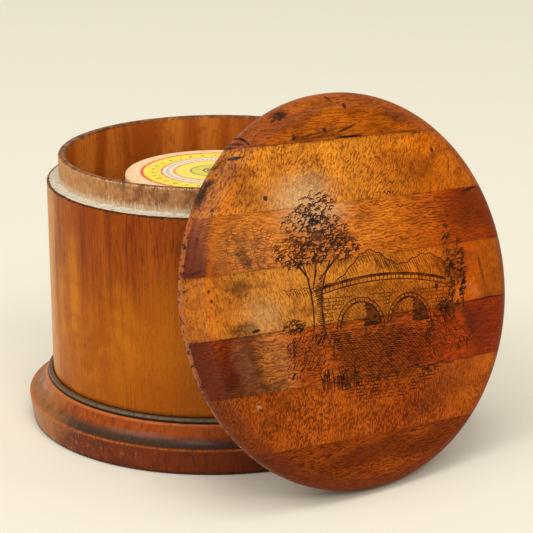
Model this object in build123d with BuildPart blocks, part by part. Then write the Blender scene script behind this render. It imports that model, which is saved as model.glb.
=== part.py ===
"""Round turned string box: a tub with a reel of string inside, and a loose lid that leans on the tub.

Millimetres. The origin is the centre of the foot's flat underside, +Z is up, and the lid stands towards -Y.
"""
from build123d import *
from math import acos, asin, cos, radians, sin
import os

# Tub, driving dimensions
body_radius = 47.0
wall_thickness = 3.4
shoulder_height = 69.75
neck_height = 7.25
neck_thickness = 2.1
floor_height = 8.0
arris_round = 0.4
rim_round = 0.6

# Foot moulding and the bead above it
foot_height = 12.9
foot_bottom_radius = 53.25
foot_arris_radius = 54.05
foot_arris_height = 7.4
foot_arris_width = 0.5
foot_bottom_round = 0.8
foot_top_radius = 49.3
foot_top_round = 0.8
foot_cove_depth = 1.1
bead_round = 0.95
bead_centre_radius = 47.65
bead_centre_height = 13.35

# Hole in the hidden side that the string leaves by
exit_radius = 2.0
exit_height = 40.0
exit_mouth_radius = 2.7

# Reel, its pin, its string and its labels
reel_radius = 25.0
reel_height = 62.2
reel_gap_below = 0.45
pin_gap_below = 0.05
reel_core_radius = 8.0
flange_edge = 2.4
flange_taper = 3.2
flange_round = 0.7
spindle_radius = 1.6
bore_clearance = 0.35
socket_depth = 5.5
socket_clearance = 0.08
spindle_below_label = 0.4
spindle_chamfer = 0.4
label_radius = 20.75
label_thickness = 0.15
string_radius = 22.6
string_shoulder = 21.4

# Lid, in its own frame: radius from its axis, height above the plane of its widest circle
lid_radius = 52.2
lid_dome_rise = 9.4
lid_round = 4.0
lid_band_above = 0.9
lid_band_below = 1.0
lid_band_round = 0.3
lid_ledge_width = 0.6
lid_cove_depth = 1.2
skirt_depth = 7.05
skirt_straight = 1.5
lid_fit_clearance = 0.3
lid_seat_clearance = 0.35
keeper_depth = 10.3
keeper_inner_radius = 27.5
keeper_round = 0.8
lid_ceiling_height = 1.5
lid_ceiling_round = 1.2

# Seven strips glued edge to edge: where the joints cross the lid's centre line, from the top down
stave_joints = [40.0, 23.6, 9.1, -6.9, -21.9, -37.5]
stave_slope = -3.7

# How the lid leans on the neck
lid_lean = 15.1
lean_gap = 0.2

# Worked out from the above
wall_inner_radius = body_radius - wall_thickness
neck_inner_radius = wall_inner_radius - neck_thickness
neck_top = shoulder_height + neck_height
bead_low_turn = asin((foot_height - bead_centre_height) / bead_round)
bead_high_turn = acos((body_radius - bead_centre_radius) / bead_round)
reel_bottom = floor_height + reel_gap_below
reel_top = reel_bottom + reel_height
bore_radius = spindle_radius + bore_clearance
spindle_top = reel_top + label_thickness - spindle_below_label
groove_outer_radius = wall_inner_radius + lid_fit_clearance
keeper_outer_radius = neck_inner_radius - lid_fit_clearance
groove_ceiling = neck_height - skirt_depth + lid_seat_clearance

os.makedirs("parts", exist_ok=True)

# Foot: base moulding with the tub's floor, a rebate for the neck sleeve and a blind socket for the pin
with BuildPart() as foot:
    cove_top = (foot_top_radius, foot_height - foot_top_round)
    cove_foot = (foot_arris_radius - foot_arris_width, foot_arris_height)
    with BuildSketch(Plane.XZ):
        with BuildLine():
            Polyline((0, floor_height), (0, 0), (foot_bottom_radius - foot_bottom_round, 0))
            RadiusArc(
                (foot_bottom_radius - foot_bottom_round, 0),
                (foot_bottom_radius, foot_bottom_round),
                -foot_bottom_round,
            )
            Polyline(
                (foot_bottom_radius, foot_bottom_round),
                (foot_arris_radius, foot_arris_height - foot_arris_width),
                (foot_arris_radius, foot_arris_height),
                cove_foot,
            )
            SagittaArc(cove_foot, cove_top, foot_cove_depth)
            RadiusArc(cove_top, (foot_top_radius - foot_top_round, foot_height), -foot_top_round)
            Polyline(
                (foot_top_radius - foot_top_round, foot_height),
                (wall_inner_radius, foot_height),
                (wall_inner_radius, floor_height),
                (0, floor_height),
            )
        make_face()
    revolve(axis=Axis.Z)
    with Locations(Plane.XY.offset(floor_height)):
        Hole(radius=spindle_radius + socket_clearance, depth=socket_depth)
foot.part.label = "foot"

# Body wall: the straight drum, with the bead round its lower edge and the shoulder on top
with BuildPart() as body_wall:
    bead_points = [
        (bead_centre_radius + bead_round * cos(turn), bead_centre_height + bead_round * sin(turn))
        for turn in (bead_low_turn, (bead_low_turn + bead_high_turn) / 2, bead_high_turn)
    ]
    with BuildSketch(Plane.XZ):
        with BuildLine():
            Line((wall_inner_radius, foot_height), bead_points[0])
            ThreePointArc(*bead_points)
            Line(bead_points[-1], (body_radius, shoulder_height - arris_round))
            RadiusArc(
                (body_radius, shoulder_height - arris_round),
                (body_radius - arris_round, shoulder_height),
                -arris_round,
            )
            Polyline(
                (body_radius - arris_round, shoulder_height),
                (wall_inner_radius, shoulder_height),
                (wall_inner_radius, foot_height),
            )
        make_face()
    revolve(axis=Axis.Z)
    with Locations(Plane(origin=(0, body_radius, exit_height), z_dir=(0, 1, 0))):
        CounterSinkHole(
            radius=exit_radius,
            counter_sink_radius=exit_mouth_radius,
            depth=wall_thickness + neck_thickness,
        )
body_wall.part.label = "body_wall"

# Neck liner: the thin sleeve inside the drum, whose top stands up as the neck that the lid goes over
with BuildPart() as neck_liner:
    with BuildSketch(Plane.XZ):
        with BuildLine():
            Polyline(
                (neck_inner_radius, neck_top - rim_round),
                (neck_inner_radius, floor_height),
                (wall_inner_radius, floor_height),
                (wall_inner_radius, neck_top - rim_round),
            )
            RadiusArc(
                (wall_inner_radius, neck_top - rim_round),
                (wall_inner_radius - rim_round, neck_top),
                -rim_round,
            )
            Line((wall_inner_radius - rim_round, neck_top), (neck_inner_radius + rim_round, neck_top))
            RadiusArc(
                (neck_inner_radius + rim_round, neck_top),
                (neck_inner_radius, neck_top - rim_round),
                -rim_round,
            )
        make_face()
    revolve(axis=Axis.Z)
    with Locations(Plane(origin=(0, body_radius, exit_height), z_dir=(0, 1, 0))):
        Hole(radius=exit_radius, depth=body_radius - neck_inner_radius + neck_thickness)
neck_liner.part.label = "neck_liner"

# Spindle: a plain pin that stands loose in the foot's socket
with BuildPart() as spindle:
    pin_bottom = floor_height - socket_depth + pin_gap_below
    with BuildSketch(Plane.XY.offset(pin_bottom)):
        Circle(spindle_radius)
    extrude(amount=spindle_top - pin_bottom)
    chamfer(spindle.edges().filter_by(GeomType.CIRCLE), length=spindle_chamfer)
spindle.part.label = "spindle"

# Reel: core and two flanges whose inner faces slope down to the core
with BuildPart() as reel:
    with BuildSketch(Plane.XZ):
        with BuildLine():
            Polyline(
                (bore_radius, reel_bottom),
                (reel_radius, reel_bottom),
                (reel_radius, reel_bottom + flange_edge),
                (reel_core_radius, reel_bottom + flange_edge + flange_taper),
                (reel_core_radius, reel_top - flange_edge - flange_taper),
                (reel_radius, reel_top - flange_edge),
                (reel_radius, reel_top),
                (bore_radius, reel_top),
                close=True,
            )
        make_face()
    revolve(axis=Axis.Z)
    fillet(reel.edges().filter_by(GeomType.CIRCLE).group_by(SortBy.RADIUS)[-1], radius=flange_round)
reel.part.label = "reel"

# String winding: the envelope of the wound string, a barrel that fills the reel between its flanges
with BuildPart() as string_winding:
    taper_slope = flange_taper / (reel_radius - reel_core_radius)
    shoulder_rise = taper_slope * (reel_radius - string_shoulder)
    low_shoulder = reel_bottom + flange_edge + shoulder_rise
    high_shoulder = reel_top - flange_edge - shoulder_rise
    with BuildSketch(Plane.XZ):
        with BuildLine():
            Polyline(
                (string_shoulder, high_shoulder),
                (reel_core_radius, reel_top - flange_edge - flange_taper),
                (reel_core_radius, reel_bottom + flange_edge + flange_taper),
                (string_shoulder, low_shoulder),
            )
            ThreePointArc(
                (string_shoulder, low_shoulder),
                (string_radius, (low_shoulder + high_shoulder) / 2),
                (string_shoulder, high_shoulder),
            )
        make_face()
    revolve(axis=Axis.Z)
string_winding.part.label = "string_winding"

# Labels: paper discs on the reel's two ends
with BuildPart() as top_label:
    with BuildSketch(Plane.XY.offset(reel_top)):
        Circle(label_radius)
        Circle(bore_radius, mode=Mode.SUBTRACT)
    extrude(amount=label_thickness)
top_label.part.label = "top_label"

with BuildPart() as bottom_label:
    with BuildSketch(Plane.XY.offset(reel_bottom)):
        Circle(label_radius)
        Circle(bore_radius, mode=Mode.SUBTRACT)
    extrude(amount=-label_thickness)
bottom_label.part.label = "bottom_label"

# Where the lid stands: its lowest edge on the ground, its keeper ring just clear of the neck's rim
lean_sin = sin(radians(lid_lean))
lean_cos = cos(radians(lid_lean))
lid_centre_height = lid_radius * lean_cos + (lid_band_below - lid_band_round) * lean_sin
lid_reach = (keeper_depth + lean_gap + (neck_top - lid_centre_height) * lean_sin) / lean_cos
lid_centre = Vector(0, -(wall_inner_radius + lid_reach), lid_centre_height)
lid_normal = Vector(0, -lean_cos, lean_sin)
lid_plane = Plane(origin=lid_centre, x_dir=(1, 0, 0), z_dir=lid_normal)
lid_section_plane = Plane(origin=lid_centre, x_dir=(1, 0, 0), z_dir=Vector(1, 0, 0).cross(lid_normal))

# Lid blank: dome, rounded edge, skirt with a groove for the neck, and an inner ring that keeps the reel
round_start = lid_radius - lid_round
round_top = lid_band_above + lid_round
round_middle = (round_start + lid_round * sin(radians(45)), lid_band_above + lid_round * cos(radians(45)))
dome_rise = lid_dome_rise - round_top
dome_radius = (round_start**2 + dome_rise**2) / (2 * dome_rise)
lid_cove_start = (lid_radius - lid_band_round - lid_ledge_width, -lid_band_below)
lid_cove_end = (body_radius, skirt_straight - skirt_depth)
with BuildPart() as lid_blank:
    with BuildSketch(lid_section_plane):
        with BuildLine():
            RadiusArc((0, lid_dome_rise), (round_start, round_top), dome_radius)
            ThreePointArc((round_start, round_top), round_middle, (lid_radius, lid_band_above))
            Line((lid_radius, lid_band_above), (lid_radius, -lid_band_below + lid_band_round))
            Polyline(
                (lid_radius, -lid_band_below + lid_band_round),
                (lid_radius - lid_band_round, -lid_band_below),
                lid_cove_start,
            )
            SagittaArc(lid_cove_start, lid_cove_end, -lid_cove_depth)
            Polyline(
                lid_cove_end,
                (body_radius, -skirt_depth),
                (groove_outer_radius, -skirt_depth),
                (groove_outer_radius, groove_ceiling),
                (keeper_outer_radius, groove_ceiling),
                (keeper_outer_radius, -keeper_depth + keeper_round),
                (keeper_outer_radius - keeper_round, -keeper_depth),
                (keeper_inner_radius + keeper_round, -keeper_depth),
                (keeper_inner_radius, -keeper_depth + keeper_round),
                (keeper_inner_radius, lid_ceiling_height - lid_ceiling_round),
                (keeper_inner_radius - lid_ceiling_round, lid_ceiling_height),
                (0, lid_ceiling_height),
                (0, lid_dome_rise),
            )
        make_face()
    revolve(axis=Axis(lid_centre, lid_normal))

# Lid staves: the blank cut along the glued joints into its seven strips
stave_edges = [lid_radius + 1, *stave_joints, -lid_radius - 1]
staves = []
for number, (upper, lower) in enumerate(zip(stave_edges, stave_edges[1:]), start=1):
    with BuildPart() as stave:
        add(lid_blank.part)
        with Locations(lid_plane):
            with Locations(Location((0, 0, 0), (0, 0, stave_slope))):
                with Locations((0, (upper + lower) / 2, 0)):
                    Box(3 * lid_radius, upper - lower, 4 * lid_dome_rise, mode=Mode.INTERSECT)
    stave.part.label = f"lid_stave_{number}"
    staves.append(stave.part)

tub_pieces = [foot.part, body_wall.part, neck_liner.part]
reel_pieces = [spindle.part, reel.part, string_winding.part, top_label.part, bottom_label.part]
for piece in [*tub_pieces, *reel_pieces, *staves]:
    export_step(piece, f"parts/{piece.label}.step")
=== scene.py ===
"""Turned string box: finishes, wound string, lid picture and studio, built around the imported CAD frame.

Lengths in the dataclass fields are in millimetres. Blender objects are in metres, in the frame's own axes:
+Z up, the tub round the origin, the lid leaning on the tub's -Y side.
"""
from __future__ import annotations

import logging
import math
import random
from dataclasses import dataclass, field
from enum import Enum
from typing import Callable, Iterable, Sequence, Union

import bpy
from mathutils import Matrix, Vector

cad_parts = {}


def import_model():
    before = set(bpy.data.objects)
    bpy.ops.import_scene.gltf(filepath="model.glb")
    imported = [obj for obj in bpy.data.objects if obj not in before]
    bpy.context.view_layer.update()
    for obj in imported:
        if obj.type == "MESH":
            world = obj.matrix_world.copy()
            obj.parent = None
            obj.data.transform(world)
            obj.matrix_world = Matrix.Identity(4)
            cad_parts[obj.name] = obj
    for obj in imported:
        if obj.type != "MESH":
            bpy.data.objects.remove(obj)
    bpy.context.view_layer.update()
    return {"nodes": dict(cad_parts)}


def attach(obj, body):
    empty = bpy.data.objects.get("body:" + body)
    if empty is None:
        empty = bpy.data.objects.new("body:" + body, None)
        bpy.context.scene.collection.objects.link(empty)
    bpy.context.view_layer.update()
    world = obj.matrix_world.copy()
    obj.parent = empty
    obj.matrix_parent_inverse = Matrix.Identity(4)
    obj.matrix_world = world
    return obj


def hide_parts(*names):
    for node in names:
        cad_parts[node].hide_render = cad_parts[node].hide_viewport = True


MM = 0.001
LIT_TO_SHADED = (0.809, -0.588, 0.0)  # across the tub, from the side the light falls on to its shaded side; colour graded along it is painted light and shade, with some real stain, dust and wear
log = logging.getLogger("string_box")

Colour = tuple[float, float, float, float]
Point = tuple[float, float]
Triple = tuple[float, float, float]
Feed = Union["Socket", float, tuple]
Coats = list[tuple[Feed, Feed]]
Dice = random.Random
Material = bpy.types.Material
Object = bpy.types.Object
Nodes = dict[str, Object]


def paint(red: float, green: float, blue: float) -> Colour:
    """Linear colour of an sRGB one whose channels run from 0 to 255."""
    channels = (c / 255 for c in (red, green, blue))
    return (*(c / 12.92 if c <= 0.04045 else ((c + 0.055) / 1.055) ** 2.4 for c in channels), 1.0)


def cos_sin(degrees: float) -> Point:
    """Cosine and sine of an angle."""
    return math.cos(math.radians(degrees)), math.sin(math.radians(degrees))


# Shader bench


@dataclass(frozen=True, eq=False)
class Socket:
    """A value in a material's node tree, whose arithmetic adds Math nodes."""

    bench: Bench
    end: bpy.types.NodeSocket

    def __add__(self, other: Feed) -> Socket:
        """Sum."""
        return self.bench.maths("ADD", self, other)

    def __radd__(self, other: Feed) -> Socket:
        """Sum with a number on the left."""
        return self.bench.maths("ADD", other, self)

    def __sub__(self, other: Feed) -> Socket:
        """Difference."""
        return self.bench.maths("SUBTRACT", self, other)

    def __rsub__(self, other: Feed) -> Socket:
        """Difference from a number."""
        return self.bench.maths("SUBTRACT", other, self)

    def __mul__(self, other: Feed) -> Socket:
        """Product."""
        return self.bench.maths("MULTIPLY", self, other)

    def __rmul__(self, other: Feed) -> Socket:
        """Product with a number on the left."""
        return self.bench.maths("MULTIPLY", other, self)

    def __truediv__(self, other: Feed) -> Socket:
        """Quotient."""
        return self.bench.maths("DIVIDE", self, other)

    def __pow__(self, other: Feed) -> Socket:
        """Power."""
        return self.bench.maths("POWER", self, other)

    def __abs__(self) -> Socket:
        """Size without sign."""
        return self.bench.maths("ABSOLUTE", self)

    def fade(self, start: float, end: float, low: float = 0.0, high: float = 1.0) -> Socket:
        """Go softly from one level to another.

        Args:
            start: value at which the fade starts, above or below its end.
            end: value at which it ends.
            low: level at the start and before it.
            high: level at the end and after it.

        Returns:
            The level.
        """
        if start > end:
            start, end, low, high = end, start, high, low
        feeds = dict(enumerate((self, start, end, low, high)))
        return self.bench.tap("ShaderNodeMapRange", {"interpolation_type": "SMOOTHSTEP"}, feeds)

    def between(self, low: float, high: float, soft: float) -> Socket:
        """1 between two values and 0 outside, with edges that are soft wide."""
        half = soft / 2
        return self.fade(low - half, low + half) * self.fade(high + half, high - half)


class Bench:
    """Builds the node tree of one material, or of the world."""

    def __init__(self, name: str, sky: bool = False) -> None:
        """Start an empty tree.

        Args:
            name: the material's name.
            sky: make a world instead of a material.
        """
        self.material = (bpy.data.worlds if sky else bpy.data.materials).new(name)
        self.material.use_nodes = True
        self.tree = self.material.node_tree
        self.tree.nodes.clear()

    def node(self, kind: str, settings: dict | None = None, feeds: dict | None = None) -> bpy.types.Node:
        """Add a node.

        Args:
            kind: the node's Blender type.
            settings: properties to set first; "stops" fills a colour ramp.
            feeds: a value or Socket for each input, by name or number.

        Returns:
            The new node.
        """
        node = self.tree.nodes.new(kind)
        for key, value in (settings or {}).items():
            if key == "stops":
                self._fill_ramp(node.color_ramp, value)
            else:
                setattr(node, key, value)
        for key, value in (feeds or {}).items():
            if isinstance(value, Socket):
                self.tree.links.new(value.end, node.inputs[key])
            else:
                node.inputs[key].default_value = value
        return node

    @staticmethod
    def _fill_ramp(ramp: bpy.types.ColorRamp, stops: Sequence[tuple[float, Colour]]) -> None:
        """Give a ramp its stops.

        Args:
            ramp: the node's ramp.
            stops: place from 0 to 1 and colour of each stop, in order.
        """
        ramp.elements[0].position, ramp.elements[0].color = stops[0]
        ramp.elements[1].position, ramp.elements[1].color = stops[-1]
        for position, colour in stops[1:-1]:
            ramp.elements.new(position).color = colour

    def out(self, node: bpy.types.Node, key: int | str = 0) -> Socket:
        """Output of a node."""
        return Socket(self, node.outputs[key])

    def tap(self, kind: str, settings: dict | None, feeds: dict | None = None, key: int | str = 0) -> Socket:
        """Output of a new node."""
        return self.out(self.node(kind, settings, feeds), key)

    def maths(self, operation: str, *values: Feed) -> Socket:
        """Math node on values."""
        return self.tap("ShaderNodeMath", {"operation": operation}, dict(enumerate(values)))

    def vector(self, operation: str, *values: Feed, result: str = "Vector") -> Socket:
        """Vector Math node, whose result is a vector unless it is read as a value."""
        return self.tap("ShaderNodeVectorMath", {"operation": operation}, dict(enumerate(values)), result)

    def dot(self, vector: Socket, axis: Sequence[float]) -> Socket:
        """Length of a vector along an axis."""
        return self.vector("DOT_PRODUCT", vector, tuple(axis), result="Value")

    def coats(self, ground: Feed, *coats: tuple[Feed, Feed]) -> Feed:
        """Lay coats of colour one over another.

        Args:
            ground: colour of the bare surface.
            coats: how much of each coat shows, 0 to 1, and its colour.

        Returns:
            The colour with every coat on it.
        """
        settings = {"data_type": "RGBA", "blend_type": "MIX", "clamp_factor": True}
        for share, colour in coats:
            ground = self.tap("ShaderNodeMix", settings, {0: share, 6: ground, 7: colour}, 2)
        return ground

    def join(self, x: Feed, y: Feed, z: Feed) -> Socket:
        """Vector of three values."""
        return self.tap("ShaderNodeCombineXYZ", None, {0: x, 1: y, 2: z})

    def parts(self, vector: Socket) -> tuple[Socket, Socket, Socket]:
        """The three values of a vector."""
        node = self.node("ShaderNodeSeparateXYZ", None, {0: vector})
        return self.out(node, 0), self.out(node, 1), self.out(node, 2)

    def place(self) -> Socket:
        """Place on the object, in millimetres in the frame's axes."""
        return self.vector("MULTIPLY", self.tap("ShaderNodeTexCoord", None, key="Object"), (1 / MM,) * 3)

    def round(self) -> tuple[Socket, Socket, Socket, Socket, Socket]:
        """Place on the object, taken apart.

        Returns:
            The place, its three values and its distance from the tub's axis.
        """
        place = self.place()
        x, y, z = self.parts(place)
        return place, x, y, z, (x * x + y * y) ** 0.5

    def noise(self, place: Socket, lumps: float | Triple, detail: float = 2, rough: float = 0.5) -> Socket:
        """Noise from 0 to 1 around 0.5.

        Args:
            place: where it is read, in millimetres.
            lumps: lumps to a millimetre, the same all ways or along each axis.
            detail: layers of finer noise.
            rough: strength of the finer layers.

        Returns:
            The noise.
        """
        scale = 1.0 if isinstance(lumps, tuple) else lumps
        where = self.vector("MULTIPLY", place, lumps) if isinstance(lumps, tuple) else place
        feeds = {"Vector": where, "Scale": scale, "Detail": detail, "Roughness": rough}
        return self.tap("ShaderNodeTexNoise", None, feeds, "Fac")

    def cells(self, vector: Socket, feature: str = "F1") -> Socket:
        """Distance to the nearest of points scattered one to a unit, or to the edge between two."""
        feeds = {"Vector": vector, "Scale": 1.0}
        return self.tap("ShaderNodeTexVoronoi", {"feature": feature}, feeds, "Distance")

    def spot(self, x: Socket, y: Socket, mark: Mark, fray: Socket | None = None) -> Socket:
        """Mask of one mark.

        Args:
            x: place across, in millimetres.
            y: place up, in millimetres.
            mark: where the mark is, its size, turn, softness and strength.
            fray: noise around 0.5 that frays the edge.

        Returns:
            The mark's strength inside it and 0 outside.
        """
        cos, sin = cos_sin(mark.turn)
        right, up = x - mark.x, y - mark.y
        along = (right * cos + up * sin) / mark.length
        across = (up * cos - right * sin) / mark.width
        reach = (along * along + across * across) ** 0.5
        if fray is not None:
            reach = reach + (fray - 0.5) * mark.fray
        return reach.fade(1 + mark.soft / 2, 1 - mark.soft / 2, 0.0, mark.strength)

    def finish(self, colour: Feed, rough: Feed, height: Socket | None = None, **others: Feed) -> Material:
        """Close the material with its surface shader.

        Args:
            colour: base colour.
            rough: roughness.
            height: relief in millimetres, if there is any.
            others: other inputs of the shader, with _ for a space.

        Returns:
            The finished material.
        """
        feeds: dict = {"Base Color": colour, "Roughness": rough}
        feeds.update({name.replace("_", " "): value for name, value in others.items()})
        if height is not None:
            feeds["Normal"] = self.tap("ShaderNodeBump", None, {"Distance": MM, "Height": height}, "Normal")
        shader = self.tap("ShaderNodeBsdfPrincipled", None, feeds)
        self.node("ShaderNodeOutputMaterial", None, {"Surface": shader})
        return self.material


@dataclass(frozen=True)
class Mark:
    """An oval mark: centre, half length, half width, turn in degrees, softness, strength and fraying."""

    x: float
    y: float
    length: float
    width: float
    turn: float = 0.0
    soft: float = 0.5
    strength: float = 1.0
    fray: float = 0.6


def marks(*rows: tuple[float, ...]) -> tuple[Mark, ...]:
    """Marks from rows of their values."""
    return tuple(Mark(*row) for row in rows)


def stops(*rows: tuple[float, float, float, float]) -> tuple[tuple[float, Colour], ...]:
    """Stops of a colour ramp, from rows of a place and an sRGB colour."""
    return tuple((place, paint(red, green, blue)) for place, red, green, blue in rows)


# Finishes of the tub


@dataclass(frozen=True)
class DrumVarnish:
    """Varnished drum: honey wood, stained red-brown towards the top, its bead black and its shoulder bare,
    with painted shade on the side away from the light and above the bead, and painted highlights down its
    left edge and along the bead's crest.
    """

    honey: Colour = paint(199, 116, 14)
    deep: Colour = paint(168, 87, 8)
    red: Colour = paint(146, 60, 10)
    streak: Colour = paint(98, 38, 6)
    pore: Colour = paint(84, 34, 6)
    bead: Colour = paint(46, 36, 28)
    # colour of the painted highlight along the bead's crest
    bead_highlight: Colour = paint(112, 98, 80)
    pale: Colour = paint(222, 160, 84)
    tan: Colour = paint(150, 108, 70)
    dark: Colour = paint(44, 24, 12)
    dent: Triple = (-37.5, -28.3, 60.2)
    dent_ring: Point = (0.9, 1.7)
    # span across the tub of the painted highlight down the drum's left edge
    lit_edge_sheen: Point = (-42.8, -45.0)
    stain_low: float = 40.0
    stain_high: float = 74.0
    bead_foot: float = 12.9
    bead_top: float = 14.3
    wall_radius: float = 47.0
    shoulder: float = 69.75
    arris_radius: float = 46.7

    def make(self) -> Material:
        """Build the drum's material.

        Returns:
            The material.
        """
        bench = Bench("drum_varnish")
        place, _, _, z, radius = bench.round()
        side = bench.dot(place, LIT_TO_SHADED)
        band = bench.noise(place, (0.11, 0.11, 0.012), 3)
        streak = bench.noise(place, (0.42, 0.42, 0.02), 4, 0.62)
        grain = bench.noise(place, (2.0, 2.0, 0.07), 3, 0.65)
        pore = bench.noise(place, (3.2, 3.2, 0.8))
        hair = bench.noise(place, (2.2, 2.2, 0.22))
        ragged = bench.noise(place, (0.9, 0.9, 0.4), 3)
        mottle = bench.noise(place, 0.2, 4)

        # the red stain reaches up to 12 mm lower on the side away from the light and is weaker at the left
        # edge: partly real stain, partly painted shade
        shaded_side_reach = side.fade(-42, -12) * 12.0
        stain = z + shaded_side_reach + (streak - 0.5) * 40 + (band - 0.5) * 40
        fall = (z + (band - 0.5) * 50).fade(36, 66)
        # painted highlight: pale sheen down the left edge, where the varnish reflects the bright floor
        lit_edge_sheen = (side + (streak - 0.5) * 7).fade(*self.lit_edge_sheen) * grain.fade(0.62, 0.44, 0.5, 1.0)
        from_dent = bench.vector("LENGTH", bench.vector("SUBTRACT", place, self.dent), result="Value")
        arris = (z + (ragged - 0.5) * 1.1).fade(self.shoulder - 0.5, self.shoulder - 0.2)
        colour = bench.coats(
            self.honey,
            ((band * 0.6 + mottle * 0.4).fade(0.4, 0.6), self.deep),
            # painted shade: darker on the side away from the light; the drum is also darker towards the
            # bottom
            (side.fade(-40, -8) * 0.6 + z.fade(34, 16) * 0.5, self.deep),
            (stain.fade(self.stain_low, self.stain_high) * side.fade(-46, -38, 0.35, 0.8), self.red),
            (streak.fade(0.5, 0.64) * fall * 0.44, self.streak),
            (grain.fade(0.5, 0.66) * 0.24, self.pore),
            (pore.fade(0.56, 0.68) * 0.3, self.pore),
            (hair.fade(0.52, 0.6) * fall * side.fade(-38, -16, 0.2, 0.6), self.streak),
            (lit_edge_sheen * 0.6, self.pale),
            (from_dent.between(*self.dent_ring, 0.9) * hair.fade(0.4, 0.56, 0.05, 0.5), self.streak),
            (arris * 0.85, self.dark),
        )
        beaded = z.fade(self.bead_top + 0.1, self.bead_top - 0.1)
        # painted highlight along the bead's crest, broken up by noise like worn paint
        worn = bench.noise(place, (1.6, 1.6, 0.6), 3).fade(0.3, 0.6, 0.5, 1.0)
        bead_crest_highlight = z.between(self.bead_foot + 0.65, self.bead_top - 0.12, 0.4)
        bead_crest_highlight = bead_crest_highlight * radius.fade(self.wall_radius + 0.2, self.wall_radius + 0.5)
        # painted shade in the crease just above the bead
        bead_crease_shade = z.fade(self.bead_top + 1.3, self.bead_top + 0.1)
        ledge = z.fade(self.shoulder - 0.12, self.shoulder - 0.02) * radius.fade(self.arris_radius, 46.5)
        colour = bench.coats(
            colour,
            (beaded, bench.coats(self.bead, (worn * bead_crest_highlight, self.bead_highlight))),
            (bead_crease_shade * (1 - beaded) * 0.35, self.dark),
            (ledge, bench.coats(self.tan, (ragged.fade(0.4, 0.62), self.dark))),
        )
        satin = 0.34 + (mottle - 0.5) * 0.16 + ledge * 0.4
        height = grain * 0.02 + pore * 0.014 + bench.noise(place, 0.12) * 0.25
        gloss = dict(Specular_IOR_Level=0.07, Coat_Weight=0.02, Coat_Roughness=0.2)
        return bench.finish(colour, satin, height, **gloss)


@dataclass(frozen=True)
class NeckWood:
    """Neck sleeve: bare brown wood outside with fine chalky flecks, a worn rim, and a polished inside, with
    painted shade on the side away from the light and deeper down the bore.
    """

    tan: Colour = paint(206, 148, 92)
    tan_dark: Colour = paint(128, 80, 44)
    chalk: Colour = paint(222, 202, 168)
    rim_top: Colour = paint(150, 96, 54)
    rim_dark: Colour = paint(58, 34, 18)
    rim_pale: Colour = paint(226, 192, 148)
    inside: Colour = paint(212, 120, 40)
    inside_deep: Colour = paint(170, 82, 20)
    inside_dark: Colour = paint(96, 40, 8)
    scorch: Mark = Mark(-41.0, -6.0, 2.4, 5.0, soft=0.9, strength=0.7)
    shoulder: float = 69.75
    rim: float = 77.0
    outer_radius: float = 43.6
    middle_radius: float = 42.5
    bore_radius: float = 41.7

    def make(self) -> Material:
        """Build the sleeve's material.

        Returns:
            The material.
        """
        bench = Bench("neck_wood")
        place, x, y, z, radius = bench.round()
        side = bench.dot(place, LIT_TO_SHADED).fade(-42, -22)
        fibre = bench.noise(place, (0.8, 0.8, 0.2), 4, 0.6)
        fine = bench.noise(place, (1.5, 1.5, 0.8), 4, 0.7)
        band = bench.noise(place, (0.12, 0.12, 0.012), 3)
        flecks = bench.noise(place, (2.0, 2.0, 0.6), 4, 0.7)
        cloud = bench.noise(place, 0.35, 4, 0.6)

        low = z.fade(self.shoulder + 4.0, self.shoulder + 0.6, 0.06, 0.8)
        skirt = (z + (flecks - 0.5) * 2.0).fade(self.shoulder + 2.6, self.shoulder + 0.5)
        outer = bench.coats(
            self.tan,
            # painted shade: darker on the side away from the light
            ((fibre * 0.3 + cloud * 0.7).fade(0.4, 0.6, 0.4, 1.0) * (0.25 + side * 0.7), self.tan_dark),
            (fine.fade(0.5, 0.62) * 0.35, self.tan_dark),
            ((flecks + low * 0.12).fade(0.56, 0.68) * (low * 0.45 + 0.35), self.chalk),
            (flecks.fade(0.42, 0.34) * 0.45, self.tan_dark),
            (skirt * 0.55, self.chalk),
        )
        inner = bench.coats(
            self.inside,
            (band.fade(0.42, 0.58), self.inside_deep),
            (fibre.fade(0.46, 0.66) * 0.4, self.inside_deep),
            (fine.fade(0.54, 0.7) * 0.3, self.inside_dark),
            (cloud.fade(0.54, 0.7) * 0.3, self.inside_dark),
            # painted shade: darker deeper down the bore
            (z.fade(40, 12) * 0.5, self.inside_dark),
            (bench.spot(x, y, self.scorch) * z.fade(69, 73), self.rim_dark),
        )
        outside = radius.fade(self.middle_radius - 0.2, self.middle_radius + 0.2)
        top = bench.coats(self.rim_top, (cloud.fade(0.42, 0.62) * 0.8, self.rim_dark))
        worn = radius.between(self.outer_radius - 0.3, self.outer_radius + 0.1, 0.2)
        worn = worn * z.fade(self.rim - 0.65, self.rim - 0.35)
        dots = bench.noise(place, (2.2, 2.2, 0.6), 3)
        edge = radius.fade(self.bore_radius + 0.4, self.bore_radius)
        edge = edge * z.fade(self.rim - 0.9, self.rim - 0.45)
        speckle = bench.noise(place, (1.4, 1.4, 0.4), 3)
        colour = bench.coats(
            inner,
            (outside, outer),
            (z.fade(self.rim - 0.3, self.rim - 0.08), top),
            (worn * dots.fade(0.5, 0.62) * (side * 0.55 + 0.2), self.rim_pale),
            (edge * speckle.fade(0.35, 0.5) * 0.7, self.rim_dark),
        )
        height = fibre * 0.04 + fine * 0.02
        gloss = dict(Specular_IOR_Level=0.14, Coat_Weight=0.03, Coat_Roughness=0.3)
        return bench.finish(colour, 0.38 + outside * 0.3, height, **gloss)


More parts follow.
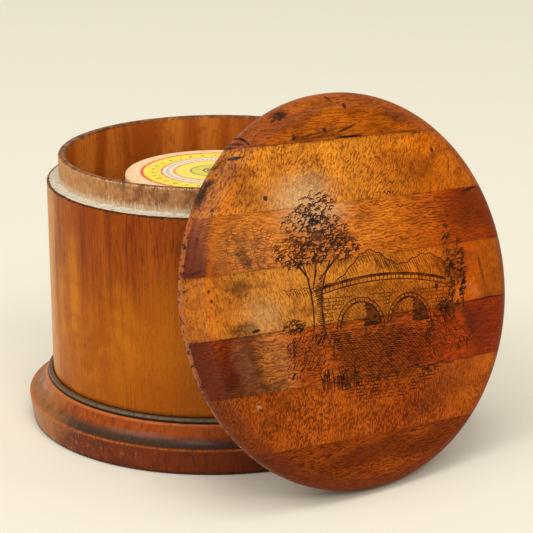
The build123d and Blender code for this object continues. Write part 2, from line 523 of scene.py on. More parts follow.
@dataclass(frozen=True)
class FootStain:
    """Foot moulding: stained red-brown and waxed, lighter orange along its arris, with painted shade low in
    the cove, in its top crease and along its bottom edge, a painted highlight on its top edge, and a left
    side painted lighter as light and wear.
    """

    upper: Colour = paint(164, 74, 18)
    # colour of the painted shade low in the cove
    cove_shade: Colour = paint(68, 50, 38)
    edge: Colour = paint(118, 46, 8)
    orange: Colour = paint(206, 112, 46)
    worn: Colour = paint(182, 114, 48)
    soot: Colour = paint(44, 24, 12)
    dust: Colour = paint(190, 156, 114)
    floor: Colour = paint(150, 84, 34)
    floor_deep: Colour = paint(96, 50, 20)
    under: Colour = paint(150, 102, 60)
    top: float = 12.9
    arris: float = 7.4
    arris_radius: float = 53.6
    step_radius: float = 48.7
    well_radius: float = 43.9
    under_radius: float = 52.7

    def make(self) -> Material:
        """Build the foot's material.

        Returns:
            The material.
        """
        bench = Bench("foot_stain")
        place, _, _, z, radius = bench.round()
        across = bench.dot(place, LIT_TO_SHADED)
        fibre = bench.noise(place, (0.1, 1.1, 1.1), 4, 0.6)
        upright = bench.noise(place, (1.3, 1.3, 0.16), 4, 0.6)
        cloud = bench.noise(place, 0.22, 4, 0.6)
        speck = bench.noise(place, 1.4, 3, 0.6)
        scuff = bench.noise(place, (1.2, 1.2, 0.5), 5, 0.75)
        rings = bench.noise(bench.join(radius, 0.0, 0.0), 2.2, 3)

        side = (across + (cloud - 0.5) * 16).fade(-36, -50)
        low = z.fade(self.arris + 0.2, self.arris - 0.1)
        arris = z.between(self.arris - 0.25, self.arris + 0.1, 0.5)
        arris = arris * radius.fade(self.arris_radius - 0.5, self.arris_radius)
        step = z.fade(self.top - 0.9, self.top - 0.35)
        step = step * radius.fade(self.step_radius - 0.3, self.step_radius)
        top_crease_shade = z.fade(self.top - 0.12, self.top - 0.03)
        top_crease_shade = top_crease_shade * radius.fade(self.step_radius + 0.05, self.step_radius - 0.1)
        floor = bench.coats(
            self.floor,
            (rings.fade(0.42, 0.64), self.floor_deep),
            (fibre.fade(0.45, 0.7) * 0.5, self.soot),
        )
        under = bench.coats(
            self.under,
            ((rings * 0.5 + fibre * 0.5).fade(0.4, 0.62), self.floor_deep),
            (cloud.fade(0.46, 0.66) * 0.4, self.dust),
        )
        colour = bench.coats(
            self.upper,
            # painted shade low in the cove
            ((z + (cloud - 0.5) * 1.6).fade(10.6, 8.0), self.cove_shade),
            (low, self.edge),
            (upright.fade(0.46, 0.66) * 0.4, self.soot),
            (cloud.fade(0.5, 0.68) * 0.3, self.soot),
            (speck.fade(0.6, 0.7) * 0.3, self.soot),
            # the left side, where the light falls, is painted lighter: painted light as well as wear
            (side * 0.65, self.worn),
            # patches of the cove's painted shade on the lighter left side
            (side * z.between(8.2, 11.4, 2.0) * cloud.fade(0.42, 0.6) * 0.6, self.cove_shade),
            (arris * speck.fade(0.3, 0.6) * 0.75, self.orange),
            # painted highlight along the foot's top edge
            (step * cloud.fade(0.34, 0.6, 0.3, 1.0) * 0.6, self.orange),
            # painted shade in the crease between the bead and the foot's top
            (top_crease_shade * 0.8, self.soot),
            (scuff.fade(0.58, 0.68) * low * across.fade(-8, -34, 0.08, 0.6), self.dust),
            # painted shade along the bottom edge, where the foot meets the floor
            ((z + (speck - 0.5) * 2.4).fade(1.3, 0.4) * 0.7, self.soot),
            (radius.fade(self.well_radius, self.well_radius - 0.3), floor),
            (z.fade(0.1, 0.02) * radius.fade(self.under_radius, self.under_radius - 0.4), under),
        )
        height = upright * 0.03 + speck * 0.02 + cloud * 0.1
        gloss = dict(Specular_IOR_Level=0.07, Coat_Weight=0.17, Coat_Roughness=0.2)
        return bench.finish(colour, 0.36 + (cloud - 0.5) * 0.3, height, **gloss)


@dataclass(frozen=True)
class Chalk:
    """Dried chalky crust."""

    cream: Colour = paint(208, 198, 178)
    dirty: Colour = paint(150, 128, 98)

    def make(self) -> Material:
        """Build the crust's material.

        Returns:
            The material.
        """
        bench = Bench("chalk_crust")
        place = bench.place()
        lump = bench.noise(place, 0.8, 4, 0.6)
        dust = bench.noise(place, 3.0, 3)
        dirt = (lump.fade(0.5, 0.66) * 0.6, self.dirty), (dust.fade(0.56, 0.66) * 0.4, self.dirty)
        height = lump * 0.04 + dust * 0.01
        return bench.finish(bench.coats(self.cream, *dirt), 0.9, height, Specular_IOR_Level=0.1)


# Finishes of the reel


@dataclass(frozen=True)
class ReelWood:
    """Plain pale turned wood."""

    pale: Colour = paint(250, 214, 166)
    brown: Colour = paint(226, 180, 128)

    def make(self) -> Material:
        """Build the reel's material.

        Returns:
            The material.
        """
        bench = Bench("reel_wood")
        place = bench.place()
        fibre = bench.noise(place, (0.8, 0.8, 0.05), 4, 0.6)
        pore = bench.noise(place, (4.0, 4.0, 0.4))
        grain = (fibre.fade(0.44, 0.72), self.brown), (pore.fade(0.6, 0.74) * 0.15, self.brown)
        height = fibre * 0.04 + pore * 0.02
        return bench.finish(bench.coats(self.pale, *grain), 0.5, height, Specular_IOR_Level=0.3)


@dataclass(frozen=True)
class LabelPaper:
    """Printed paper disc: rings of flat colour with small plain ornaments, rubbed and dusty."""

    printed: bool = True
    paper: Colour = paint(236, 222, 186)
    red: Colour = paint(226, 96, 48)
    yellow: Colour = paint(255, 224, 62)
    pale_yellow: Colour = paint(252, 224, 92)
    orange: Colour = paint(240, 160, 76)
    white: Colour = paint(244, 230, 204)
    olive: Colour = paint(128, 112, 40)
    rose: Colour = paint(214, 140, 110)
    lime: Colour = paint(222, 208, 62)
    green: Colour = paint(74, 92, 40)
    slate: Colour = paint(140, 128, 116)
    dust: Colour = paint(190, 168, 130)

    def _print(self, bench: Bench, wear: Socket) -> Feed:
        """Rings and ornaments.

        Args:
            bench: the material's bench.
            wear: coarse noise that rubs the outer ornaments away.

        Returns:
            The printed colour.
        """
        _, x, y, _, radius = bench.round()
        angle = bench.maths("ARCTAN2", y, x) / math.tau + 0.5

        def ring(low: float, high: float, tone: Colour) -> tuple[Socket, Colour]:
            """Coat of one ring."""
            return radius.between(low, high, 0.3), tone

        def lozenges(count: int, middle: float, wide: float, tall: float, shift: float = 0.0) -> Socket:
            """Mask of lozenges round a ring: their number, radius, half width in steps and half height."""
            step = bench.maths("FRACT", angle * float(count) + shift)
            return (abs(step - 0.5) / wide + abs(radius - middle) / tall).fade(1.15, 0.85)

        rubbed = wear.fade(0.66, 0.46) * 0.75
        return bench.coats(
            self.paper,
            ring(19.7, 20.7, self.red),
            ring(14.9, 19.8, self.yellow),
            (lozenges(30, 17.3, 0.2, 1.25) * rubbed, self.olive),
            (lozenges(60, 15.9, 0.2, 0.4) * rubbed, self.olive),
            ring(14.4, 14.9, self.red),
            ring(11.6, 14.3, self.white),
            (lozenges(34, 13.0, 0.24, 0.9) * 0.6, self.slate),
            (lozenges(34, 13.0, 0.24, 0.9, 0.5) * 0.6, self.rose),
            ring(10.6, 11.5, self.orange),
            ring(6.7, 10.5, self.pale_yellow),
            ring(6.2, 6.6, self.green),
            ring(3.2, 6.1, self.lime),
            ring(2.5, 3.1, self.green),
            ring(1.9, 2.4, self.orange),
        )

    def make(self) -> Material:
        """Build the label's material.

        Returns:
            The material.
        """
        bench = Bench("label_print" if self.printed else "label_plain")
        place = bench.place()
        wear = bench.noise(place, 0.5, 5, 0.65)
        fleck = bench.noise(place, 2.6, 3, 0.6)
        colour = bench.coats(
            self._print(bench, wear) if self.printed else self.paper,
            (wear.fade(0.5, 0.7) * 0.45, self.paper),
            (fleck.fade(0.56, 0.72) * 0.5, self.dust),
        )
        return bench.finish(colour, 0.55, wear * 0.05 + fleck * 0.02, Specular_IOR_Level=0.25)


@dataclass(frozen=True)
class StringFibre:
    """Two-ply parcel string of pale unbleached fibre."""

    pale: Colour = paint(214, 192, 152)
    shade: Colour = paint(140, 112, 76)
    turns_attribute: str = "strand"

    def make(self) -> Material:
        """Build the string's material.

        Returns:
            The material.
        """
        bench = Bench("string_fibre")
        place = bench.place()
        strand = bench.tap("ShaderNodeAttribute", {"attribute_name": self.turns_attribute}, key="Fac")
        ply = bench.maths("SINE", strand * math.tau) * 0.5 + 0.5
        fuzz = bench.noise(place, 3.0, 3, 0.7)
        colour = bench.coats(
            self.pale,
            (ply.fade(0.45, 0.0) * 0.75, self.shade),
            (fuzz.fade(0.5, 0.7) * 0.35, self.shade),
            (bench.noise(place, 0.12, 3).fade(0.45, 0.65) * 0.25, self.shade),
        )
        return bench.finish(colour, 0.85, ply * 0.12 + fuzz * 0.04, Specular_IOR_Level=0.15)


@dataclass(frozen=True)
class PinSteel:
    """Drawn steel wire, dulled."""

    steel: Colour = paint(168, 166, 160)
    dull: Colour = paint(104, 96, 86)

    def make(self) -> Material:
        """Build the pin's material.

        Returns:
            The material.
        """
        bench = Bench("pin_steel")
        place = bench.place()
        line = bench.noise(place, (2.0, 2.0, 0.1), 3)
        tarnish = bench.noise(place, 0.7, 4)
        colour = bench.coats(self.steel, (tarnish.fade(0.42, 0.66), self.dull))
        return bench.finish(colour, 0.34 + line * 0.2, line * 0.01, Metallic=1.0)


# Finishes of the lid


class Figure(Enum):
    """How a strip's surface is marked."""

    WAVED = "fine dark waved lines along the strip"
    STIPPLED = "short pores and dashes in a burr"


@dataclass(frozen=True)
class LidAxes:
    """The lid's own axes: u to the right, v up its slope, w out of its face."""

    centre: Triple = (0.0, -61.604, 50.580)
    lean: float = 15.1
    joint_slope: float = -3.7
    rim_radius: float = 52.2
    round_start: float = 48.2
    dome_top: float = 9.4
    dome_radius: float = 260.39

    @property
    def up(self) -> Vector:
        """Direction up the lid's slope."""
        cos, sin = cos_sin(self.lean)
        return Vector((0, sin, cos))

    @property
    def out(self) -> Vector:
        """Direction out of the lid's face."""
        cos, sin = cos_sin(self.lean)
        return Vector((0, -cos, sin))

    def dome(self, u: float, v: float) -> float:
        """Height of the dome over the plane of the lid's widest circle."""
        return math.sqrt(self.dome_radius**2 - u * u - v * v) + self.dome_top - self.dome_radius

    def point(self, u: float, v: float, w: float) -> Vector:
        """Place in the frame, in metres, of a place on the lid."""
        return (Vector(self.centre) + Vector((u, 0, 0)) + self.up * v + self.out * w) * MM

    def sockets(self, bench: Bench) -> tuple[Socket, Socket, Socket]:
        """The lid's three coordinates in a material."""
        place = bench.vector("SUBTRACT", bench.place(), self.centre)
        return bench.dot(place, (1, 0, 0)), bench.dot(place, self.up), bench.dot(place, self.out)


@dataclass(frozen=True)
class StripWood:
    """One glued strip of the lid: its figure, its colours from left to right and its marks; on one strip the
    colours paint a window's reflection, and some marks are painted highlights.
    """

    name: str
    figure: Figure
    stops: tuple[tuple[float, Colour], ...]
    darker: Triple = (0.3, 0.22, 0.2)
    lighter: Triple = (1.45, 1.6, 1.6)
    varnish: Triple = (1.0, 0.98, 0.6)
    dash_turn: float = 0.0
    dash_start: float = 0.51
    stroke: Point = (0.75, 2.2)
    pore_share: float = 0.8
    line_step: float = 0.85
    line_share: float = 0.5
    fibre_share: float = 0.5
    ripple: float = 1.5
    joint_top: float = 60.0
    joint_foot: float = -60.0
    joint_shares: Point = (0.9, 0.9)
    rim_gloss: float = 0.22
    bare_depth: float = 2.8
    bare_radius: float = 45.0
    seed: float = 0.0
    black: tuple[Mark, ...] = ()
    stains: tuple[Mark, ...] = ()
    # pale marks: rubbed varnish and pits, and painted highlights of a window's reflection
    pale: tuple[Mark, ...] = ()
    crazed: tuple[Mark, ...] = ()
    shades: tuple[Mark, ...] = marks(
        (4.0, -16.6, 19.5, 7.0, -6, 0.7, 0.86, 1.4),
        (4.5, -3.4, 19.5, 5.0, -6, 0.6, 0.6, 1.2),
        (-20.5, -12.0, 6.0, 5.0, -6, 0.8, 0.5, 1.6),
        (25.0, -8.0, 5.0, 5.5, -6, 0.8, 0.5, 1.6),
        (-11.5, 15.0, 8.0, 7.0, 0, 1.2, 0.26, 1.6),
    )
    hatch_turn: float = 38.0
    hatch_step: float = 0.8
    ink: Colour = paint(28, 16, 10)
    stain_red: Colour = paint(84, 30, 8)
    rim_red: Colour = paint(100, 40, 14)
    # colour of the painted light inside the upper left of the rounded edge
    rim_lit_band: Colour = paint(214, 110, 22)
    rim_orange: Colour = paint(176, 96, 42)
    # colour of the painted highlight along the outer arris
    arris_highlight: Colour = paint(178, 132, 92)
    bare: Colour = paint(170, 112, 62)
    bare_dark: Colour = paint(112, 66, 32)
    # colour of rubbed varnish and of the painted highlights
    worn: Colour = paint(196, 158, 108)
    # colour of painted glints in the highlights
    glint: Colour = paint(236, 206, 166)

    def make(self, axes: LidAxes) -> Material:
        """Build the strip's material.

        Args:
            axes: the lid's own axes.

        Returns:
            The material.
        """
        bench = Bench(self.name)
        u, v, w = axes.sockets(bench)
        cos, sin = cos_sin(axes.joint_slope)
        along, across = u * cos + v * sin, v * cos - u * sin
        radius = (u * u + v * v) ** 0.5
        solid = bench.join(along + self.seed, across, w)
        cloud = bench.noise(solid, (0.07, 0.14, 0.14), 4, 0.6)
        drift = bench.noise(solid, (0.12, 0.2, 0.2), 4, 0.6)
        blush = bench.noise(solid, (0.13, 0.22, 0.22), 5, 0.65)
        glints = bench.noise(solid, (1.5, 3.0, 2.0)).fade(0.56, 0.66)
        fray = bench.noise(solid, 0.9, 3, 0.6)

        reach = (along + (cloud - 0.5) * 16) / (2 * axes.rim_radius) + 0.5
        wood = bench.tap("ShaderNodeValToRGB", {"stops": self.stops}, {0: reach})
        wood = bench.vector("MULTIPLY", wood, self.varnish)
        light = bench.vector("MULTIPLY", wood, self.lighter)
        wood = bench.coats(wood, (drift.fade(0.47, 0.6) * 0.4, light))
        dark = bench.vector("MULTIPLY", wood, self.darker)
        figure = self._waved(bench, solid) if self.figure is Figure.WAVED else self._burr(bench, solid)
        coats: Coats = [(bench.maths("MINIMUM", figure, 0.95) * u.fade(8, 44, 1.0, 0.7), dark)]
        if self.crazed:
            coats.append((self._crazing(bench, u, v, solid), dark))
        coats.append((blush.fade(0.5, 0.68) * 0.42, self.stain_red))
        coats += [(bench.spot(u, v, mark, fray), self.stain_red) for mark in self.stains]
        # pale marks paint rubbed varnish and pits, and some paint a window's highlight with painted glints in
        # it
        for rubbed in (bench.spot(u, v, mark, fray) for mark in self.pale):
            coats += [(rubbed, self.worn), (rubbed * glints * 0.8, self.glint)]
        wood = bench.coats(wood, *coats)

        coats = [(self._shading(bench, u, v, fray), bench.vector("MULTIPLY", wood, self.darker))]
        for joint, share in zip((self.joint_top, self.joint_foot), self.joint_shares):
            if abs(joint) < axes.rim_radius:
                cracked = cloud.fade(0.42, 0.56, 0.3, 1.0) * fray.fade(0.36, 0.52, 0.4, 1.0) * share
                shade = abs(across - joint + (fray - 0.5)).fade(1.0, 0.1) * (share * 0.3)
                coats += [(abs(across - joint).fade(0.24, 0.05) * cracked, self.ink), (shade, self.stain_red)]
        coats += self._rim(axes, (u, v, w), radius, fray)
        coats += [(bench.spot(u, v, mark, fray), self.ink) for mark in self.black]
        coats += self._underside(bench, radius, w, solid)

        rounded = radius.fade(axes.round_start - 1.0, axes.round_start + 1.0)
        sheen = 0.17 + (cloud - 0.5) * 0.1 + rounded * 0.25
        gloss = 0.01 + rounded * v.fade(-36, -4, 0.25, 1.0) * self.rim_gloss
        height = figure * -0.03 * radius.fade(axes.round_start, axes.round_start - 1.5, 0.2, 1.0)
        constants = dict(Specular_IOR_Level=0.035, Coat_Weight=gloss, Coat_Roughness=0.3)
        return bench.finish(bench.coats(wood, *coats), sheen, height, **constants)

    def _shading(self, bench: Bench, u: Socket, v: Socket, fray: Socket) -> Socket:
        """Darkness of the picture's hatched and stippled tone.

        Args:
            bench: the material's bench.
            u: place to the right, in millimetres.
            v: place up the slope, in millimetres.
            fray: fine noise.

        Returns:
            Darkness from 0 to 1.
        """
        cos, sin = cos_sin(self.hatch_turn)
        phase = (u * cos + v * sin + fray * 0.5) * (math.tau / self.hatch_step)
        line = bench.maths("SINE", phase).fade(-0.5, 0.4, 0.55, 1.0)
        tone, *others = (bench.spot(u, v, mark, fray) for mark in self.shades)
        for other in others:
            tone = bench.maths("MAXIMUM", tone, other)
        return tone * line

    def _crazing(self, bench: Bench, u: Socket, v: Socket, solid: Socket) -> Socket:
        """Darkness of fine crossing cracks in the varnish.

        Args:
            bench: the material's bench.
            u: place to the right, in millimetres.
            v: place up the slope, in millimetres.
            solid: place in the strip.

        Returns:
            Darkness from 0 to 1.
        """
        ripple = bench.noise(solid, (0.5, 0.7, 0.5)) - 0.5
        stretched = bench.vector("MULTIPLY", solid, (0.66, 1.5, 0.7))
        bent = bench.vector("ADD", stretched, bench.join(ripple * 1.6, ripple * -1.4, 0.0))
        cracks = bench.cells(bent, "DISTANCE_TO_EDGE").fade(0.14, 0.06)
        first, *others = (bench.spot(u, v, mark) for mark in self.crazed)
        return cracks * ripple.fade(-0.1, 0.1, 0.5, 1.0) * sum(others, first)

    def _waved(self, bench: Bench, solid: Socket) -> Socket:
        """Darkness of fine waved lines along the strip.

        Args:
            bench: the material's bench.
            solid: place in the strip, along, across and through it.

        Returns:
            Darkness from 0 to a little over 1.
        """
        _, across, _ = bench.parts(solid)
        wave = bench.noise(solid, (0.1, 0.2, 0.2)) - 0.5
        ripple = bench.noise(solid, (0.5, 0.6, 0.6)) - 0.5
        phase = (across + wave * 4.0 + ripple * self.ripple) * (math.tau / self.line_step)
        line = bench.maths("SINE", phase) * 0.5 + 0.5
        gaps = bench.noise(solid, (0.36, 1.1, 0.9)).fade(0.42, 0.5)
        where = bench.noise(solid, (0.06, 0.1, 0.1)).fade(0.38, 0.56, 0.4, 1.0)
        lines = line.fade(0.6, 0.88) * gaps * where * self.line_share
        fibre = bench.noise(solid, (0.36, 2.4, 2.4)).fade(0.53, 0.6) * self.fibre_share
        tooth = bench.noise(solid, (0.8, 2.8, 2.8), 1).fade(0.4, 0.6) * 0.3
        return bench.maths("MAXIMUM", lines, fibre) + tooth

    def _burr(self, bench: Bench, solid: Socket) -> Socket:
        """Darkness of a burr's pores and short dashes.

        Args:
            bench: the material's bench.
            solid: place in the strip, along, across and through it.

        Returns:
            Darkness from 0 to a little over 1.
        """
        cos, sin = cos_sin(self.dash_turn)
        x, y, z = bench.parts(solid)
        lean = bench.noise(solid, (0.05, 0.05, 0.05), 1) - 0.5
        run, side = x * cos + y * sin, y * cos - x * sin + lean * 7.0
        dash = bench.noise(bench.join(run * self.stroke[0], side * self.stroke[1], z * 1.4), 1.0, 1)
        patch = bench.noise(solid, (0.1, 0.14, 0.1)).fade(0.36, 0.62, 0.55, 1.0)
        strokes = dash.fade(self.dash_start, self.dash_start + 0.07) * patch * self.line_share
        pores = bench.cells(bench.join(run * 0.8, side * 1.2, z)).fade(0.27, 0.15) * self.pore_share
        tooth = bench.noise(bench.join(run + 9.0, side * 2.8, z * 2.0), 1.0, 1).fade(0.4, 0.6) * 0.3
        swirl = bench.noise(solid, (0.22, 0.22, 0.22), 3).fade(0.5, 0.62) * 0.15
        return bench.maths("MAXIMUM", strokes, pores) + tooth + swirl

    def _rim(self, axes: LidAxes, spot: Sequence[Socket], radius: Socket, fray: Socket) -> Coats:
        """Darken the rounded edge, wear its outer arris and paint light on it: a lit band inside its upper
        left and a highlight line along the arris.

        Args:
            axes: the lid's own axes.
            spot: place to the right, up the slope and over the plane of the widest circle.
            radius: distance from the lid's axis.
            fray: fine noise.

        Returns:
            The rim's coats, each a mask and a colour.
        """
        u, v, w = spot
        bend, rim = axes.round_start, axes.rim_radius
        # painted light: a lighter orange band just inside the rounded edge at its upper left, which faces the
        # light
        inner = radius.between(bend - 2.2, bend - 0.6, 1.6) * u.fade(-20, -38)
        inner = inner * v.fade(-12, 4) * fray.fade(0.3, 0.6) * 0.42
        edge = (radius + (fray - 0.5)).fade(bend - 0.4, bend + 1.4)
        share = v.fade(-6, -30) * u.fade(24, -10) * 0.34 + u.fade(20, 44) * 0.14 + 0.3
        freckle = radius.fade(rim - 2.6, rim - 0.8) * fray.fade(0.6, 0.68) * u.fade(-22, -40) * 0.8
        face = radius.fade(rim - 0.2, rim - 0.05)
        rubbed = u.fade(-40, -46) * v.fade(-20, -8)
        # painted highlight: a pale line along the outer arris
        arris_highlight = face * w.between(-0.25, 0.2, 0.3) * (1 - rubbed * 0.6)
        return [
            (inner, self.rim_lit_band),
            (edge * share * fray.fade(0.3, 0.62, 0.7, 1.0), self.rim_red),
            (freckle, self.ink),
            (face * w.between(-0.6, 1.6, 0.6) * rubbed * fray.fade(0.6, 0.48) * 0.8, self.rim_orange),
            (face * rubbed * fray.fade(0.56, 0.62) * 0.85, self.ink),
            (arris_highlight * fray.fade(0.6, 0.45) * 0.7, self.arris_highlight),
        ]

    def _underside(self, bench: Bench, radius: Socket, w: Socket, solid: Socket) -> Coats:
        """Leave the turned inside of the lid bare.

        Args:
            bench: the material's bench.
            radius: distance from the lid's axis.
            w: height over the plane of the widest circle.
            solid: place in the strip.

        Returns:
            The inside's coats, each a mask and a colour.
        """
        fibre = bench.noise(solid, (0.12, 1.4, 1.4), 4, 0.6)
        rings = bench.noise(bench.join(radius, w, 0.0), 1.5)
        bare = bench.coats(self.bare, ((fibre * 0.7 + rings * 0.3).fade(0.4, 0.62), self.bare_dark))
        inside = w.fade(self.bare_depth + 0.4, self.bare_depth)
        inside = inside * radius.fade(self.bare_radius + 0.4, self.bare_radius)
        skirt = w.fade(-0.9, -1.1) * (1 - inside) * 0.45
        return [(skirt, self.rim_red), (inside, bare)]


@dataclass(frozen=True)
class PictureInk:
    """Dark brown printing ink under the lid's varnish, thin where it is rubbed."""

    ink: Colour = paint(36, 15, 4)
    thin: Colour = paint(98, 46, 10)

    def make(self, axes: LidAxes) -> Material:
        """Build the ink's material.

        Args:
            axes: the lid's own axes.

        Returns:
            The material.
        """
        bench = Bench("picture_ink")
        solid = bench.join(*axes.sockets(bench))
        rub = bench.noise(solid, 0.22, 4, 0.65)
        grain = bench.noise(solid, (0.6, 2.4, 1.0))
        colour = bench.coats(self.ink, ((rub * 0.6 + grain * 0.4).fade(0.44, 0.58), self.thin))
        return bench.finish(colour, 0.26, Specular_IOR_Level=0.035)


# Meshes


def mesh_piece(name: str, points: Iterable, faces: Iterable, smooth: bool = True) -> Object:
    """Make an object from points and faces.

    Args:
        name: the piece's name.
        points: places in the frame, in metres.
        faces: point numbers of each face.
        smooth: whether its faces shade smoothly.

    Returns:
        The linked object.
    """
    mesh = bpy.data.meshes.new(name)
    mesh.from_pydata([tuple(p) for p in points], [], [tuple(f) for f in faces])
    mesh.validate()
    mesh.polygons.foreach_set("use_smooth", [smooth] * len(mesh.polygons))
    mesh.update()
    piece = bpy.data.objects.new(name, mesh)
    bpy.context.scene.collection.objects.link(piece)
    return piece


def dress(piece: Object, material: Material) -> Object:
    """Give a piece, or a CAD node, one material all over.

    Args:
        piece: the piece or node.
        material: its material.

    Returns:
        The same piece.
    """
    if piece.material_slots:
        for slot in piece.material_slots:
            slot.link = "OBJECT"
            slot.material = material
    else:
        piece.data.materials.append(material)
    return piece


def on_circle(radius: float, angle: float, z: float) -> Vector:
    """Point at a radius, angle and height."""
    return Vector((radius * math.cos(angle), radius * math.sin(angle), z))


def band_faces(first: int, second: int, size: int) -> list[tuple[int, ...]]:
    """Faces between two closed rings of points, from the number of each ring's first point."""
    pairs = [(k, (k + 1) % size) for k in range(size)]
    return [(first + k, first + n, second + n, second + k) for k, n in pairs]


class Wander:
    """Smooth repeatable randomness round a circle."""

    def __init__(self, seed: int, waves: Sequence[int]) -> None:
        """Draw the waves.

        Args:
            seed: number that the draws start from.
            waves: how many times round each wave goes.
        """
        draw = random.Random(seed)
        self.terms = [(n, draw.uniform(0, math.tau), draw.uniform(0.6, 1.0)) for n in waves]

    def __call__(self, angle: float) -> float:
        """Value from about -1 to 1 at an angle."""
        total = sum(size * math.sin(n * angle + phase) for n, phase, size in self.terms)
        return total / math.sqrt(len(self.terms))


# Sub-assemblies


@dataclass
class Tub:
    """The tub: foot, drum, neck sleeve and the chalky crust that the glue left on the shoulder."""

    neck_radius: float = 43.6
    shoulder: float = 69.75
    crust_wide: float = 2.85
    crust_narrow: float = 2.2
    crust_side: float = 222.0
    crust_rise: float = 0.45
    crust_thick: float = 0.12
    sunk: float = 0.05
    steps: int = 540

    def build(self, nodes: Nodes) -> None:
        """Dress the tub's nodes and lay the crust.

        Args:
            nodes: the CAD nodes by name.
        """
        dress(nodes["foot"], FootStain().make())
        dress(nodes["body_wall"], DrumVarnish().make())
        dress(nodes["neck_liner"], NeckWood().make())
        crust = self.crust()
        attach(crust, "tub")
        log.info("tub dressed, crust of %d faces", len(crust.data.polygons))

    def crust(self) -> Object:
        """Mesh of the crust in the corner between shoulder and neck.

        Returns:
            The crust's object.
        """
        broad, ragged = Wander(11, (2, 3, 5)), Wander(12, (17, 29, 41, 67, 97))
        rise = Wander(13, (7, 19, 37, 59, 83))
        points, faces = [], []
        for i in range(self.steps):
            angle = math.tau * i / self.steps
            facing = 0.5 + 0.5 * math.cos(angle - math.radians(self.crust_side))
            reach = self.crust_narrow + (self.crust_wide - self.crust_narrow) * facing**1.5
            reach = min(3.0, max(0.3, reach * (1 + 0.1 * broad(angle)) + 0.12 * ragged(angle)))
            climb = max(0.2, self.crust_rise * (0.6 + 0.4 * facing) * (1 + 0.4 * rise(angle)))
            thick = self.crust_thick + 0.02 * ragged(angle * 2)
            profile = (
                (-0.06, -self.sunk),
                (reach, -self.sunk),
                (reach - 0.08, 0.3 * thick),
                (reach * 0.5, thick),
                (0.16, thick + 0.14),
                (0.06, climb),
                (-0.06, climb + 0.02),
            )
            size = len(profile)
            for out, up in profile:
                points.append(on_circle(self.neck_radius + out, angle, self.shoulder + up) * MM)
            for a, d, c, b in band_faces(i * size, (i + 1) % self.steps * size, size):
                faces.append((a, b, c, d))
        return dress(mesh_piece("shoulder_crust", points, faces), Chalk().make())


